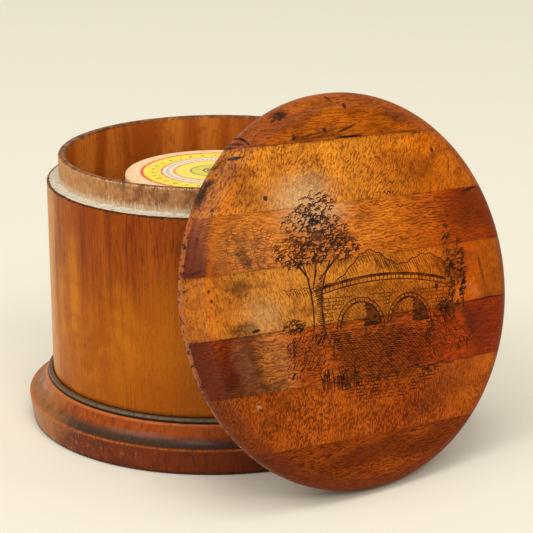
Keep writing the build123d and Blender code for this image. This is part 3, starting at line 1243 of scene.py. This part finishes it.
@dataclass
class ReelSet:
    """The reel on its pin, with its labels and its wound string."""

    string_thick: float = 0.9
    barrel_middle: float = 22.6
    barrel_end: float = 21.4
    core_radius: float = 8.1
    low: float = 11.53
    high: float = 67.57
    ring_steps: int = 56
    tube_sides: int = 7
    barrel_sides: int = 72
    barrel_rows: int = 14
    ply_length: float = 1.6
    lead_turns: float = 2.6
    lead_fall: float = 0.78
    seed: int = 5

    def build(self, nodes: Nodes) -> None:
        """Dress the reel's nodes and wind the string.

        Args:
            nodes: the CAD nodes by name.
        """
        dress(nodes["reel"], ReelWood().make())
        dress(nodes["top_label"], LabelPaper().make())
        dress(nodes["bottom_label"], LabelPaper(printed=False).make())
        dress(nodes["spindle"], PinSteel().make())
        string = self.string()
        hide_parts("string_winding")
        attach(string, "reel")
        log.info("string wound, %d faces", len(string.data.polygons))

    def barrel(self, z: float) -> float:
        """Radius of the wound string's outside at a height."""
        share = (z - self.low) / (self.high - self.low) * 2 - 1
        return self.barrel_middle - (self.barrel_middle - self.barrel_end) * share * share

    def path(self) -> list[Vector]:
        """Centre line of the outer layer, then of the lead that crosses back over it.

        Returns:
            Points in millimetres, evenly stepped round the reel.
        """
        half, tall = self.string_thick / 2, self.high - self.low
        draw = random.Random(self.seed)
        turns = int((tall - self.string_thick) / self.string_thick)
        wobble = [draw.uniform(-0.07, 0.07) for _ in range(turns + 2)]
        line = []
        for i in range(turns * self.ring_steps + 1):
            turn = i / self.ring_steps
            whole, part = int(turn), turn - int(turn)
            jitter = wobble[whole] * (1 - part) + wobble[whole + 1] * part
            z = self.low + half + (turn + jitter) * self.string_thick
            line.append(on_circle(self.barrel(z) - half - 0.02 + jitter * 0.6, math.tau * turn, z))
        steps = int(self.lead_turns * self.ring_steps)
        for i in range(1, steps + 1):
            z = self.high - half - tall * self.lead_fall * i / steps
            lift = half * 1.5 * min(1.0, i / 6, (steps - i) / 6)
            angle = math.tau * (turns + self.lead_turns * i / steps)
            line.append(on_circle(self.barrel(z) - half + lift, angle, z))
        return line

    def string(self) -> Object:
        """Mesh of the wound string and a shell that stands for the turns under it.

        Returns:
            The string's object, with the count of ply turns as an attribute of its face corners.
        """
        line, sides, half = self.path(), self.tube_sides, self.string_thick / 2
        points, faces, strand, marks_along = [], [], [], []
        travelled = 0.0
        for i, here in enumerate(line):
            ahead = (line[min(i + 1, len(line) - 1)] - line[max(i - 1, 0)]).normalized()
            outward = Vector((here.x, here.y, 0)).normalized()
            outward = (outward - ahead * outward.dot(ahead)).normalized()
            sideways = ahead.cross(outward)
            travelled += (here - line[i - 1]).length if i else 0.0
            marks_along.append(travelled / self.ply_length)
            for turn in (math.tau * k / sides for k in range(sides)):
                points.append((here + (outward * math.cos(turn) + sideways * math.sin(turn)) * half) * MM)
        for i in range(len(line) - 1):
            faces += band_faces(i * sides, (i + 1) * sides, sides)
            for k in range(sides):
                a, b = marks_along[i] + k / sides, marks_along[i + 1] + k / sides
                strand += [a, a + 1 / sides, b + 1 / sides, b]
        last = len(points) - sides
        faces += [tuple(range(sides))[::-1], tuple(range(last, last + sides))]

        base, size = len(points), self.barrel_sides
        tall = self.high - self.low - 0.4
        shell = [self.low + 0.2 + tall * i / self.barrel_rows for i in range(self.barrel_rows + 1)]
        rows = [(self.core_radius, self.low + 2.6), *((self.barrel(z) - half * 1.3, z) for z in shell)]
        rows.append((self.core_radius, self.high - 2.6))
        for row, (radius, z) in enumerate(rows):
            points += [on_circle(radius, math.tau * k / size, z) * MM for k in range(size)]
            faces += band_faces(base + row * size, base + (row + 1) % len(rows) * size, size)
        strand += [0.0] * (2 * sides + 4 * size * len(rows))
        piece = mesh_piece("wound_string", points, faces)
        turns = piece.data.attributes.new(StringFibre().turns_attribute, "FLOAT", "CORNER")
        if len(turns.data) == len(strand):
            turns.data.foreach_set("value", strand)
        return dress(piece, StringFibre().make())


@dataclass(frozen=True)
class Stroke:
    """A line of the picture: points in millimetres and its widest width, tapered or not."""

    points: tuple[Point, ...]
    width: float = 0.22
    taper: bool = True


@dataclass
class Picture:
    """Engraved landscape in line: a stone bridge over a stream, trees, hills and birds."""

    centre: Point = (3.5, -2.0)
    turn: float = -6.0
    size: float = 1.16
    weight: float = 1.45
    lift: float = 0.025
    sunk: float = 0.05
    step: float = 2.6
    seed: int = 41
    arch_radius: float = 5.6
    arch_band: float = 0.95
    arch_foot: float = -6.4
    arches: Point = (-6.0, 8.0)
    piers: Triple = (-13.0, 1.0, 15.0)
    strokes: list[Stroke] = field(default_factory=list)

    def add(self, points: Iterable[Point], width: float = 0.22, taper: bool = True) -> None:
        """Add one stroke."""
        self.strokes.append(Stroke(tuple(points), width, taper))

    def draw(self) -> None:
        """Draw all of the picture's strokes."""
        dice = random.Random(self.seed)
        parts = (self._sky, self._hills, self._bridge, self._water, self._banks, self._tree, self._poplars)
        for part in parts:
            part(dice)

    @staticmethod
    def ridge(x: float) -> float:
        """Height of the far hills."""
        left, right = 7.2 * math.exp(-(((x + 2.5) / 7.0) ** 2)), 5.4 * math.exp(-(((x - 14.0) / 8.0) ** 2))
        return 3.2 + left + right + 0.25 * math.sin(2.1 * x)

    @staticmethod
    def deck(x: float) -> float:
        """Height of the bridge's deck."""
        return 1.2 + 2.4 * (1 - ((x - 1.0) / 19.0) ** 2)

    @staticmethod
    def _dashes(dice: Dice, start: float, end: float, lengths: Point, gaps: Point) -> Iterable[Point]:
        """Break a row into dashes.

        Args:
            dice: the seeded draws.
            start: where the row starts.
            end: where no more dashes start.
            lengths: shortest and longest dash.
            gaps: narrowest and widest gap.

        Yields:
            Start and length of each dash.
        """
        x = start
        while x < end:
            length = dice.uniform(*lengths)
            yield x, length
            x += length + dice.uniform(*gaps)

    def _sky(self, dice: Dice) -> None:
        """Birds and thin broken cloud lines.

        Args:
            dice: the seeded draws.
        """
        for x, y, span in ((0.5, 20.5, 1.5), (4.5, 22.6, 1.1), (8.0, 19.4, 1.3), (6.5, 24.8, 0.9)):
            self.add(((x - span, y + 0.5), (x - span * 0.5, y + 0.75), (x, y)), 0.24)
            self.add(((x, y), (x + span * 0.5, y + 0.75), (x + span, y + 0.4)), 0.24)
        for row in range(7):
            y, start = 15.5 + row * 1.15, 11.0 + dice.uniform(-2, 2)
            for x, length in self._dashes(dice, start, 24 - row * 0.9, (1.5, 4.5), (0.4, 1.4)):
                self.add(((x, y + dice.uniform(-0.1, 0.1)), (x + length, y + dice.uniform(-0.1, 0.25))), 0.13)

    def _hills(self, dice: Dice) -> None:
        """Far hills with slanted shading on their right sides.

        Args:
            dice: the seeded draws.
        """
        self.add([(x, self.ridge(x)) for x in (-26 + 0.8 * i for i in range(67))], 0.2)
        for x in (-25 + 0.62 * i for i in range(80)):
            top = self.ridge(x)
            falling = self.ridge(x + 0.5) - top < -0.05
            length = dice.uniform(1.0, 2.4) + (2.6 if falling else 0.0)
            foot = max(top - length, self.deck(x) + 1.6 if -17 < x < 19 else 1.4)
            if foot < top - 0.5:
                self.add(((x, top - 0.2), (x + 0.45 * (top - foot), foot)), 0.15)

    def _arch_points(self, middle: float, reach: float, angles: Iterable[float]) -> list[Point]:
        """Points round an arch, at angles in degrees."""
        return [(middle + reach * cos, self.arch_foot + reach * sin) for cos, sin in map(cos_sin, angles)]

    def _bridge(self, dice: Dice) -> None:
        """Two-arched stone bridge with courses, arch stones and dark under the arches.

        Args:
            dice: the seeded draws.
        """
        for rise, width in ((0.0, 0.2), (1.35, 0.34), (1.0, 0.16)):
            self.add([(x, self.deck(x) + rise) for x in range(-18, 21)], width, False)
        for x in (-17.4 + 1.15 * i for i in range(33)):
            self.add(((x, self.deck(x)), (x + 0.05, self.deck(x) + 1.0)), 0.13, False)
        inside, outside = self.arch_radius, self.arch_radius + self.arch_band
        for middle in self.arches:
            self.add(self._arch_points(middle, inside, range(0, 181, 9)), 0.34, False)
            self.add(self._arch_points(middle, outside, range(0, 181, 9)), 0.18, False)
            for angle in range(6, 180, 12):
                ends = (self._arch_points(middle, reach, [angle])[0] for reach in (inside, outside))
                self.add(ends, 0.16, False)
            for k in range(15):
                y = self.arch_foot + 0.2 + k * (inside - 0.5) / 15
                half = math.sqrt(inside**2 - (y - self.arch_foot) ** 2) - 0.15
                inner = half * (0.1 + 0.35 * (k / 15))
                self.add(((middle + inner + dice.uniform(-0.4, 0.4), y), (middle + half, y)), 0.24, False)
                self.add(((middle - half, y + 0.12), (middle - half * 0.7, y + 0.12)), 0.13)
        for y in (0.6 - row * 0.82 for row in range(9)):
            x = -17.5
            while x < 19:
                length = dice.uniform(1.2, 2.4)
                near = min(math.hypot(x + length / 2 - m, y - self.arch_foot) for m in self.arches)
                if near > inside + 1.9 and self.deck(x) > y + 0.3:
                    self.add(((x, y), (x + length * 0.85, y + 0.05)), 0.13, False)
                    self.add(((x + length * 0.9, y), (x + length * 0.9, y + 0.7)), 0.12, False)
                x += length

    def _water(self, dice: Dice) -> None:
        """Stream below the bridge in broken level lines, darker under the piers.

        Args:
            dice: the seeded draws.
        """
        for row in range(26):
            y, right = self.arch_foot - 0.5 - row * 0.47, 17 - row * 0.42
            x = -15 + row * 0.22 + dice.uniform(0, 1)
            while x < right:
                dark = min(abs(x - pier) for pier in self.piers) < 2.6 and row < 15
                length = dice.uniform(0.9, 2.6) * (1.25 if dark else 1.0)
                ends = (x, y), (min(right, x + length), y + dice.uniform(-0.06, 0.06))
                self.add(ends, 0.24 if dark else 0.14)
                x += length + dice.uniform(0.2, 0.5 if dark else 1.7)

    def _banks(self, dice: Dice) -> None:
        """Grassy banks, reeds, ripples and boulders in the foreground.

        Args:
            dice: the seeded draws.
        """
        for _ in range(150):
            x = dice.uniform(-26, -12)
            y = -6.0 + 0.18 * (x + 12) - dice.uniform(0, 8.5)
            self.add(((x, y), (x + dice.uniform(0.3, 0.9), y + dice.uniform(0.7, 1.5))), 0.17)
        for _ in range(130):
            x = dice.uniform(13, 27)
            y = -6.5 - dice.uniform(0, 9.5) + 0.1 * (x - 13)
            self.add(((x, y), (x - dice.uniform(0.3, 0.9), y + dice.uniform(0.7, 1.5))), 0.17)
        for _ in range(34):
            x, lean, tall = dice.uniform(-17, -7), dice.uniform(-1.2, 1.2), dice.uniform(2.8, 6.2)
            foot = -20 + 0.1 * abs(x + 12)
            self.add(((x, foot), (x + lean * 0.3, -20 + tall * 0.6), (x + lean, -20 + tall)), 0.26)
        for row in range(8):
            y, half = -17.5 - row * 0.75, 20 - row * 2.0
            for x, length in self._dashes(dice, -half, half, (1.2, 3.4), (0.3, 1.5)):
                sag = 0.004 * x * x
                self.add(((x, y + sag), (x + length, y + sag + dice.uniform(-0.15, 0.15))), 0.2)
        for x, y, size in ((9.0, -17.2, 1.5), (12.2, -18.0, 1.1), (-2.5, -18.6, 1.2)):
            back = map(cos_sin, range(-20, 201, 20))
            self.add([(x + size * cos, y + 0.6 * size * sin) for cos, sin in back], 0.22)
            for k in range(5):
                low, high = x + size * (0.1 + 0.16 * k), x + size * (0.3 + 0.12 * k)
                self.add(((low, y + 0.05), (high, y + 0.5 * size)), 0.15)

    def _leaves(self, dice: Dice, clump: tuple[float, float, float, float], count: int) -> None:
        """Small curled strokes that fill an oval clump, thicker at its lower right.

        Args:
            dice: the seeded draws.
            clump: centre and half sizes.
            count: how many strokes.
        """
        cx, cy, rx, ry = clump
        for _ in range(count):
            reach, turn = math.sqrt(dice.random()), dice.uniform(0, math.tau)
            x, y = cx + rx * reach * math.cos(turn), cy + ry * reach * math.sin(turn)
            shade = 0.5 + 0.5 * ((x - cx) / rx - (y - cy) / ry) / 1.42
            size, start = dice.uniform(0.35, 0.75), dice.uniform(0.2, 1.4)
            turns = (start, start + 0.9, start + 1.8, start + 2.7)
            curl = [(x + size * math.cos(t), y + size * 0.8 * math.sin(t)) for t in turns]
            self.add(curl, 0.13 + 0.2 * shade)

    def _tree(self, dice: Dice) -> None:
        """Big broad tree on the left bank.

        Args:
            dice: the seeded draws.
        """
        left = (-19.4, -8.5), (-18.6, -5.5), (-18.5, -1.5), (-18.9, 2.5), (-19.6, 6.0), (-20.6, 9.0)
        right = (-15.0, -8.7), (-16.0, -5.5), (-16.3, -1.5), (-16.0, 2.5), (-14.8, 6.0), (-13.2, 9.0)
        self.add(left, 0.34)
        self.add(right, 0.44)
        for y in (-8.2 + k * 0.42 for k in range(34)):
            x = -15.3 - 0.9 * min(1.0, (y + 8.2) / 10) + 0.28 * max(0.0, y - 2)
            self.add(((x - dice.uniform(0.8, 1.8), y), (x - 0.15, y + 0.28)), 0.2)
        self.add(((-18.2, 3.0), (-17.2, 7.0), (-17.0, 12.0)), 0.4)
        self.add(((-16.4, 5.0), (-12.0, 9.0), (-9.0, 11.5)), 0.4)
        self.add(((-19.0, 5.0), (-22.0, 9.0), (-24.0, 11.0)), 0.4)
        self._leaves(dice, (-23.0, 11.0, 4.4, 3.6), 95)
        self._leaves(dice, (-19.5, 16.5, 5.4, 4.4), 130)
        self._leaves(dice, (-13.0, 14.5, 5.6, 4.4), 140)
        self._leaves(dice, (-15.5, 20.6, 5.0, 3.6), 100)
        self._leaves(dice, (-9.0, 11.2, 4.0, 2.9), 75)
        self._leaves(dice, (-18.0, 10.5, 4.6, 2.6), 80)

    def _poplars(self, dice: Dice) -> None:
        """Two slim trees and two hedges.

        Args:
            dice: the seeded draws.
        """
        for x, low, high, wide in ((21.5, -3.0, 15.0, 1.7), (25.2, -3.5, 11.5, 1.5)):
            self.add(((x, low - 2.4), (x + 0.05, low + 2)), 0.4)
            self._leaves(dice, (x, (low + high) / 2, wide, (high - low) / 2), 95)
        self._leaves(dice, (20.5, -4.2, 4.2, 1.7), 70)
        self._leaves(dice, (-23.5, -5.0, 2.6, 1.8), 45)

    def build(self, axes: LidAxes) -> Object:
        """Lay the strokes on the lid as thin closed strips.

        Args:
            axes: the lid's own axes.

        Returns:
            The picture's object.
        """
        self.draw()
        cos, sin = cos_sin(self.turn)
        points: list[Vector] = []
        faces: list[tuple[int, ...]] = []
        for stroke in self.strokes:
            turned_points = (Vector((x * cos - y * sin, x * sin + y * cos)) for x, y in stroke.points)
            line = self._even([Vector(self.centre) + place * self.size for place in turned_points])
            base, count = len(points), len(line)
            for i, here in enumerate(line):
                ahead = (line[min(i + 1, count - 1)] - line[max(i - 1, 0)]).normalized()
                side = Vector((-ahead.y, ahead.x))
                swell = 1.0
                if stroke.taper:
                    swell = 0.35 + 0.65 * math.sin(math.pi * (0.08 + 0.84 * i / (count - 1)))
                for sign in (-0.5, 0.5):
                    edge = here + side * (stroke.width * self.weight * swell * sign)
                    dome = axes.dome(edge.x, edge.y)
                    points += [axes.point(edge.x, edge.y, dome + rise) for rise in (self.lift, -self.sunk)]
            for a in range(base, base + 4 * (count - 1), 4):
                b = a + 4
                faces += [(a, b, b + 2, a + 2), (a + 1, a + 3, b + 3, b + 1)]
                faces += [(a, a + 1, b + 1, b), (a + 2, b + 2, b + 3, a + 3)]
            end = base + 4 * (count - 1)
            faces += [(base, base + 2, base + 3, base + 1), (end, end + 1, end + 3, end + 2)]
        return mesh_piece("lid_picture", points, faces, smooth=False)

    def _even(self, line: list[Vector]) -> list[Vector]:
        """Cut a line's long runs into steps short enough to follow the dome.

        Args:
            line: the stroke's points.

        Returns:
            The points with more between them.
        """
        found = [line[0]]
        for here, there in zip(line, line[1:]):
            parts = max(1, math.ceil((there - here).length / self.step))
            found += [here.lerp(there, k / parts) for k in range(1, parts + 1)]
        if len(found) == 2:
            found.insert(1, found[0].lerp(found[1], 0.5))
        return found


STRIP_LOOKS: tuple[dict, ...] = (
    dict(
        figure=Figure.WAVED,
        stops=stops((0.2, 160, 76, 12), (0.42, 194, 102, 18), (0.6, 168, 82, 12), (0.8, 186, 98, 20)),
        line_step=0.9,
        line_share=0.6,
        black=marks(
            (-15.5, 48.4, 2.1, 1.1, 20, 1.1, 0.9, 2.2), (-17.9, 47.4, 0.9, 0.4, 10, 1.1, 0.8, 1.0),
            (-27.2, 43.9, 2.0, 0.42, -66, 0.7, 0.95, 0.8), (-28.8, 43.0, 1.2, 0.34, -20, 0.9, 0.8, 1.0),
            (-30.6, 42.4, 1.5, 0.3, 50, 0.8, 0.85, 1.0), (0.3, 50.6, 1.1, 0.45, -50, 0.6, 0.7),
            (4.6, 48.2, 0.6, 0.8, 20, 0.5, 0.85), (-3.6, 42.9, 0.62, 0.62, 0, 0.5, 0.85),
            (-8.0, 42.25, 5.6, 0.24, 2, 1.0, 0.6, 0.9), (-6.0, 41.35, 7.6, 0.22, -2, 1.0, 0.55, 0.9),
            (3.4, 42.3, 3.6, 0.3, 12, 0.9, 0.85, 0.8), (-13.4, 42.3, 0.6, 0.7, 0, 0.8, 0.8, 0.9),
            (3.6, 40.15, 3.9, 0.3, -4, 0.7, 1.0, 0.5), (23.6, 38.5, 3.0, 0.32, -6, 0.7, 1.0, 0.5),
        ),
        stains=marks(
            (21.0, 43.0, 5.5, 1.4, -22, 1.2, 0.6), (-10.0, 46.6, 9.0, 1.8, 12, 1.2, 0.5),
            (-5.0, 41.8, 9.0, 1.2, 3, 1.0, 0.35),
        ),
    ),
    dict(
        figure=Figure.STIPPLED,
        stops=stops(
            (0.08, 204, 120, 50), (0.3, 218, 134, 44), (0.5, 214, 130, 46),
            (0.72, 204, 106, 14), (0.9, 192, 100, 22),
        ),
        dash_turn=58,
        line_share=0.75,
        black=marks(
            (-31.2, 39.7, 1.9, 0.4, 2, 0.6, 0.95, 0.6), (-41.2, 32.2, 3.6, 0.62, 56, 1.2, 0.9, 2.0),
            (-38.6, 34.6, 1.2, 0.4, 40, 1.0, 0.8, 1.2), (-35.5, 38.7, 1.2, 0.35, 60, 0.8, 0.6),
            (-25.7, 28.5, 0.62, 0.62, 0, 0.5, 0.9), (-40.9, 27.9, 0.5, 0.4, 0, 0.6, 0.8),
            (30.8, 32.7, 0.55, 0.7, 0, 0.5, 0.9), (35.6, 27.6, 2.0, 0.2, 72, 0.8, 0.75),
            (26.3, 38.0, 2.2, 0.2, -5, 0.8, 0.6),
        ),
        # painted highlight of a window's reflection, with painted glints
        pale=marks((-15.8, 26.6, 7.5, 5.0, 10, 1.8, 0.58, 0.7)),
        stains=marks(
            (30.9, 31.0, 1.2, 1.2, 0, 1.0, 0.5), (24.0, 27.5, 9.0, 4.0, 10, 1.4, 0.35),
            (-30.0, 31.0, 4.0, 8.0, 20, 1.4, 0.3),
        ),
    ),
    dict(
        figure=Figure.WAVED,
        stops=stops(
            (0.03, 124, 48, 10), (0.12, 206, 118, 38), (0.4, 212, 124, 50),
            (0.62, 198, 104, 26), (0.8, 166, 66, 8), (0.95, 136, 52, 10),
        ),
        line_share=0.8,
        fibre_share=0.35,
        black=marks(
            (-35.0, 14.6, 1.5, 3.2, 22, 1.0, 0.6, 1.5), (-48.9, 13.4, 2.2, 0.5, 10, 1.2, 0.5, 1.6),
            (-49.0, 10.6, 0.9, 0.5, 0, 0.6, 0.9), (41.8, 20.4, 3.2, 0.42, 6, 0.8, 0.8, 0.6),
        ),
        # the first pale mark is a painted highlight of a window's reflection, with painted glints
        pale=marks((-12.4, 23.0, 8.0, 4.0, 0, 1.8, 0.58, 0.7), (-34.0, 16.0, 9.0, 7.0, 0, 1.9, 0.08, 0.5)),
        stains=marks((37.0, 15.5, 8.0, 5.5, 0, 1.3, 0.55), (-47.0, 16.0, 3.0, 6.0, 0, 1.0, 0.5)),
        crazed=marks((-33.0, 16.5, 8.5, 7.5, 0, 0.8, 1.2), (-14.0, 15.0, 16.0, 5.0, 0, 1.2, 0.4)),
    ),
    dict(
        figure=Figure.STIPPLED,
        stops=stops(
            (0.04, 196, 112, 36), (0.16, 198, 124, 46), (0.36, 204, 128, 50),
            (0.6, 196, 110, 28), (0.84, 194, 88, 10), (0.95, 160, 80, 12),
        ),
        dash_turn=100,
        line_share=0.5,
        black=marks(
            (-39.9, -5.2, 4.0, 0.34, 4, 0.6, 1.0, 0.5), (-35.2, -3.7, 1.1, 0.42, 4, 0.5, 1.0, 0.5),
            (-38.6, -2.6, 3.4, 1.5, 0, 1.3, 0.5, 1.8), (-37.9, 7.4, 2.4, 2.0, 0, 1.3, 0.45, 1.8),
            (-46.1, 8.4, 0.4, 0.4, 0, 0.6, 0.85), (-45.8, 5.9, 0.4, 0.5, 0, 0.6, 0.8),
            (22.9, -3.0, 0.6, 0.95, 0, 0.5, 0.9), (40.8, -1.2, 0.6, 4.2, 8, 1.1, 0.5, 1.6),
            (41.0, -9.6, 6.4, 0.36, -3, 0.7, 0.75, 0.6),
        ),
        stains=marks((30.0, 1.0, 6.0, 5.0, 0, 1.3, 0.35), (-37.0, 9.6, 5.0, 2.6, -4, 1.4, 0.3)),
        crazed=marks((-38.4, -2.9, 3.8, 1.7, 4, 0.8, 1.0), (-34.0, 3.0, 8.0, 6.0, 0, 1.2, 0.35)),
        # two rubbed patches, then a painted highlight of a window's reflection
        pale=marks(
            (36.6, -6.4, 3.4, 0.8, -38, 1.4, 0.12, 2.0), (30.4, -6.0, 1.0, 0.4, 40, 1.2, 0.18, 1.2),
            (-32.6, -0.8, 4.6, 4.0, 0, 1.8, 0.24, 0.5),
        ),
    ),
    dict(
        figure=Figure.WAVED,
        varnish=(1.0, 0.94, 0.6),
        # stops from 0.115 to 0.225 paint a window's reflection in bands at the strip's left end
        stops=stops(
            (0.03, 98, 34, 6), (0.06, 122, 42, 6), (0.09, 124, 46, 10), (0.115, 142, 76, 40),
            (0.145, 118, 60, 28), (0.185, 172, 104, 52), (0.225, 184, 102, 42), (0.28, 176, 84, 22),
            (0.5, 176, 86, 26), (0.74, 170, 64, 10), (0.9, 134, 46, 8),
        ),
        line_share=0.95,
        line_step=0.9,
        ripple=2.2,
        fibre_share=0.4,
        black=marks(
            (-36.4, -13.0, 0.9, 6.0, 18, 1.4, 0.3, 1.4), (-32.5, -19.0, 3.4, 2.0, 10, 1.3, 0.5, 1.8),
            (-43.4, -16.0, 3.0, 3.4, 0, 1.3, 0.4, 2.4), (33.9, -14.6, 1.8, 4.2, 8, 1.3, 0.4, 1.2),
        ),
        stains=marks((-43.0, -14.0, 6.0, 8.0, 0, 1.2, 0.6), (36.0, -16.0, 4.0, 6.0, 0, 1.2, 0.5)),
        # faint painted highlights of the window's panes
        pale=marks((-39.6, -12.5, 2.4, 7.0, 8, 1.6, 0.05, 0.4), (-28.0, -14.6, 2.8, 7.6, 8, 1.6, 0.06, 0.4)),
    ),
    dict(
        figure=Figure.STIPPLED,
        varnish=(1.0, 0.88, 0.5),
        stops=stops((0.1, 162, 80, 20), (0.34, 176, 88, 24), (0.6, 166, 76, 14), (0.85, 180, 92, 22)),
        dash_turn=75,
        dash_start=0.48,
        line_share=0.85,
        stroke=(1.1, 2.5),
        black=marks(
            (-36.7, -23.6, 0.7, 0.35, -30, 0.9, 0.75, 1.0), (-38.0, -22.6, 0.3, 0.7, 10, 0.9, 0.5, 1.0),
            (-33.0, -28.5, 0.6, 0.5, 0, 0.8, 0.6), (-36.0, -27.0, 0.9, 0.5, 40, 1.0, 0.5),
            (16.1, -22.5, 3.4, 0.7, -8, 1.2, 0.6, 1.2), (27.0, -23.4, 5.0, 0.4, -6, 0.9, 0.6, 0.8),
        ),
        pale=marks((-37.3, -22.9, 0.9, 0.5, -30, 1.1, 0.5, 0.5)),
        stains=marks((20.0, -30.0, 10.0, 4.0, 20, 1.4, 0.4)),
    ),
    dict(
        figure=Figure.WAVED,
        varnish=(1.0, 0.92, 0.5),
        stops=stops((0.2, 126, 54, 14), (0.5, 148, 68, 18), (0.8, 126, 52, 12)),
        line_share=0.9,
        line_step=0.9,
        ripple=2.4,
        stains=marks((-8.0, -42.0, 12.0, 2.4, 6, 1.2, 0.6), (12.0, -44.0, 8.0, 2.0, 0, 1.2, 0.5)),
    ),
)


@dataclass
class Lid:
    """The lid of seven glued strips with its line picture."""

    axes: LidAxes = field(default_factory=LidAxes)
    reach: float = 60.0
    joints: tuple[float, ...] = (40.0, 23.6, 9.1, -6.9, -21.9, -37.5)
    cracks: tuple[float, ...] = (0.9, 0.3, 0.5, 0.9, 0.5, 0.4)
    seed_step: float = 37.0

    def strips(self) -> list[StripWood]:
        """Finishes of the seven strips, from the top down.

        Returns:
            The finishes.
        """
        levels, shares = (self.reach, *self.joints, -self.reach), (0.0, *self.cracks, 0.0)
        spans = zip(levels, levels[1:], zip(shares, shares[1:]), STRIP_LOOKS)
        strips = []
        for n, (top, foot, ends, look) in enumerate(spans, start=1):
            joints = dict(joint_top=top, joint_foot=foot, joint_shares=ends)
            strips.append(StripWood(f"lid_strip_{n}", seed=self.seed_step * n, **joints, **look))
        return strips

    def build(self, nodes: Nodes) -> None:
        """Dress the strips and lay the picture.

        Args:
            nodes: the CAD nodes by name.
        """
        for number, strip in enumerate(self.strips(), start=1):
            dress(nodes[f"lid_stave_{number}"], strip.make(self.axes))
        picture = dress(Picture().build(self.axes), PictureInk().make(self.axes))
        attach(picture, "lid")
        log.info("lid dressed, picture of %d faces", len(picture.data.polygons))


# Studio


@dataclass(frozen=True)
class Softbox:
    """A soft lamp that faces the box: where it stands, its size in metres and its level on what faces it."""

    name: str
    azimuth: float
    elevation: float
    distance: float
    width: float
    height: float
    level: float
    colour: Triple = (1.0, 0.985, 0.955)


@dataclass
class Studio:
    """Camera as the photograph's, plain pale floor and soft lamps."""

    camera_place: Triple = (-322.76, -471.38, 217.28)
    look: Triple = (0.560415, 0.774639, -0.293035)
    right: Triple = (0.809054, -0.587700, -0.006310)
    lens: float = 140.76
    sensor: float = 36.0
    sight: Point = (0.01, 20.0)
    facing: float = -34.4
    target: Triple = (0.0, -15.0, 45.0)
    floor_size: float = 6.0
    floor_colour: Colour = paint(236, 231, 214)
    world_colour: Colour = (1.0, 0.96, 0.885, 1.0)
    world_level: float = 0.5
    backdrop: Colour = paint(238, 230, 208)
    lamps: tuple[Softbox, ...] = (
        Softbox("key_softbox", -60.0, 44.0, 3.0, 1.8, 1.6, 0.37),
        Softbox("front_softbox", 16.0, 42.0, 3.0, 1.6, 1.2, 0.26),
        Softbox("top_softbox", -5.0, 76.0, 2.6, 1.2, 1.2, 0.27),
        Softbox("window_softbox", 65.0, 18.6, 3.0, 0.3, 0.3, 0.09),
        Softbox("low_window_softbox", 54.0, 9.0, 3.0, 0.24, 0.36, 0.05),
    )

    def build(self) -> None:
        """Make the camera, the floor and the light."""
        bpy.context.scene.view_settings.view_transform = "Standard"
        self.camera()
        self.floor()
        self.world()
        for lamp in self.lamps:
            self.softbox(lamp)
        log.info("studio with %d lamps", len(self.lamps))

    def camera(self) -> None:
        """Place the camera where the photograph was taken from."""
        data = bpy.data.cameras.new("camera")
        data.lens, data.sensor_width = self.lens, self.sensor
        data.clip_start, data.clip_end = self.sight
        camera = bpy.data.objects.new("camera", data)
        bpy.context.scene.collection.objects.link(camera)
        look, right = Vector(self.look).normalized(), Vector(self.right).normalized()
        turn = Matrix((right, right.cross(look), -look)).transposed().to_4x4()
        camera.matrix_world = Matrix.Translation(Vector(self.camera_place) * MM) @ turn
        bpy.context.scene.camera = camera

    def floor(self) -> None:
        """Lay the plain floor."""
        half = self.floor_size / 2
        corners = [(-half, -half, 0), (half, -half, 0), (half, half, 0), (-half, half, 0)]
        floor = mesh_piece("studio_floor", corners, [(0, 1, 2, 3)], smooth=False)
        dress(floor, Bench("studio_floor").finish(self.floor_colour, 0.95, Specular_IOR_Level=0.1))

    def world(self) -> None:
        """Light the scene evenly from all round, with a pale backdrop over the floor's edge."""
        bench = Bench("studio", sky=True)
        seen = bench.tap("ShaderNodeLightPath", None, key="Is Camera Ray")
        colour = bench.coats(self.world_colour, (seen, self.backdrop))
        level = seen * (1.0 - self.world_level) + self.world_level
        shader = bench.tap("ShaderNodeBackground", None, {"Color": colour, "Strength": level})
        bench.node("ShaderNodeOutputWorld", None, {"Surface": shader})
        bpy.context.scene.world = bench.material

    def softbox(self, lamp: Softbox) -> None:
        """Hang one lamp, turned to the box.

        Args:
            lamp: where it stands, its size and its level.
        """
        north, east = cos_sin(lamp.azimuth + self.facing)
        level, rise = cos_sin(lamp.elevation)
        towards = Vector((east * level, -north * level, rise))
        data = bpy.data.lights.new(lamp.name, "AREA")
        data.shape, data.size, data.size_y = "RECTANGLE", lamp.width, lamp.height
        data.color = lamp.colour
        data.energy = lamp.level * math.pi**2 * lamp.distance**2
        light = bpy.data.objects.new(lamp.name, data)
        bpy.context.scene.collection.objects.link(light)
        light.rotation_mode = "QUATERNION"
        light.location = Vector(self.target) * MM + towards * lamp.distance
        light.rotation_quaternion = towards.to_track_quat("Z", "Y")


def main() -> None:
    """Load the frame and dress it."""
    logging.basicConfig(level=logging.INFO, format="%(name)s: %(message)s")
    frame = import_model()
    builders: tuple[Callable[[Nodes], None], ...] = (Tub().build, ReelSet().build, Lid().build)
    for build in builders:
        build(frame["nodes"])
    Studio().build()


if __name__ == "__main__":
    main()
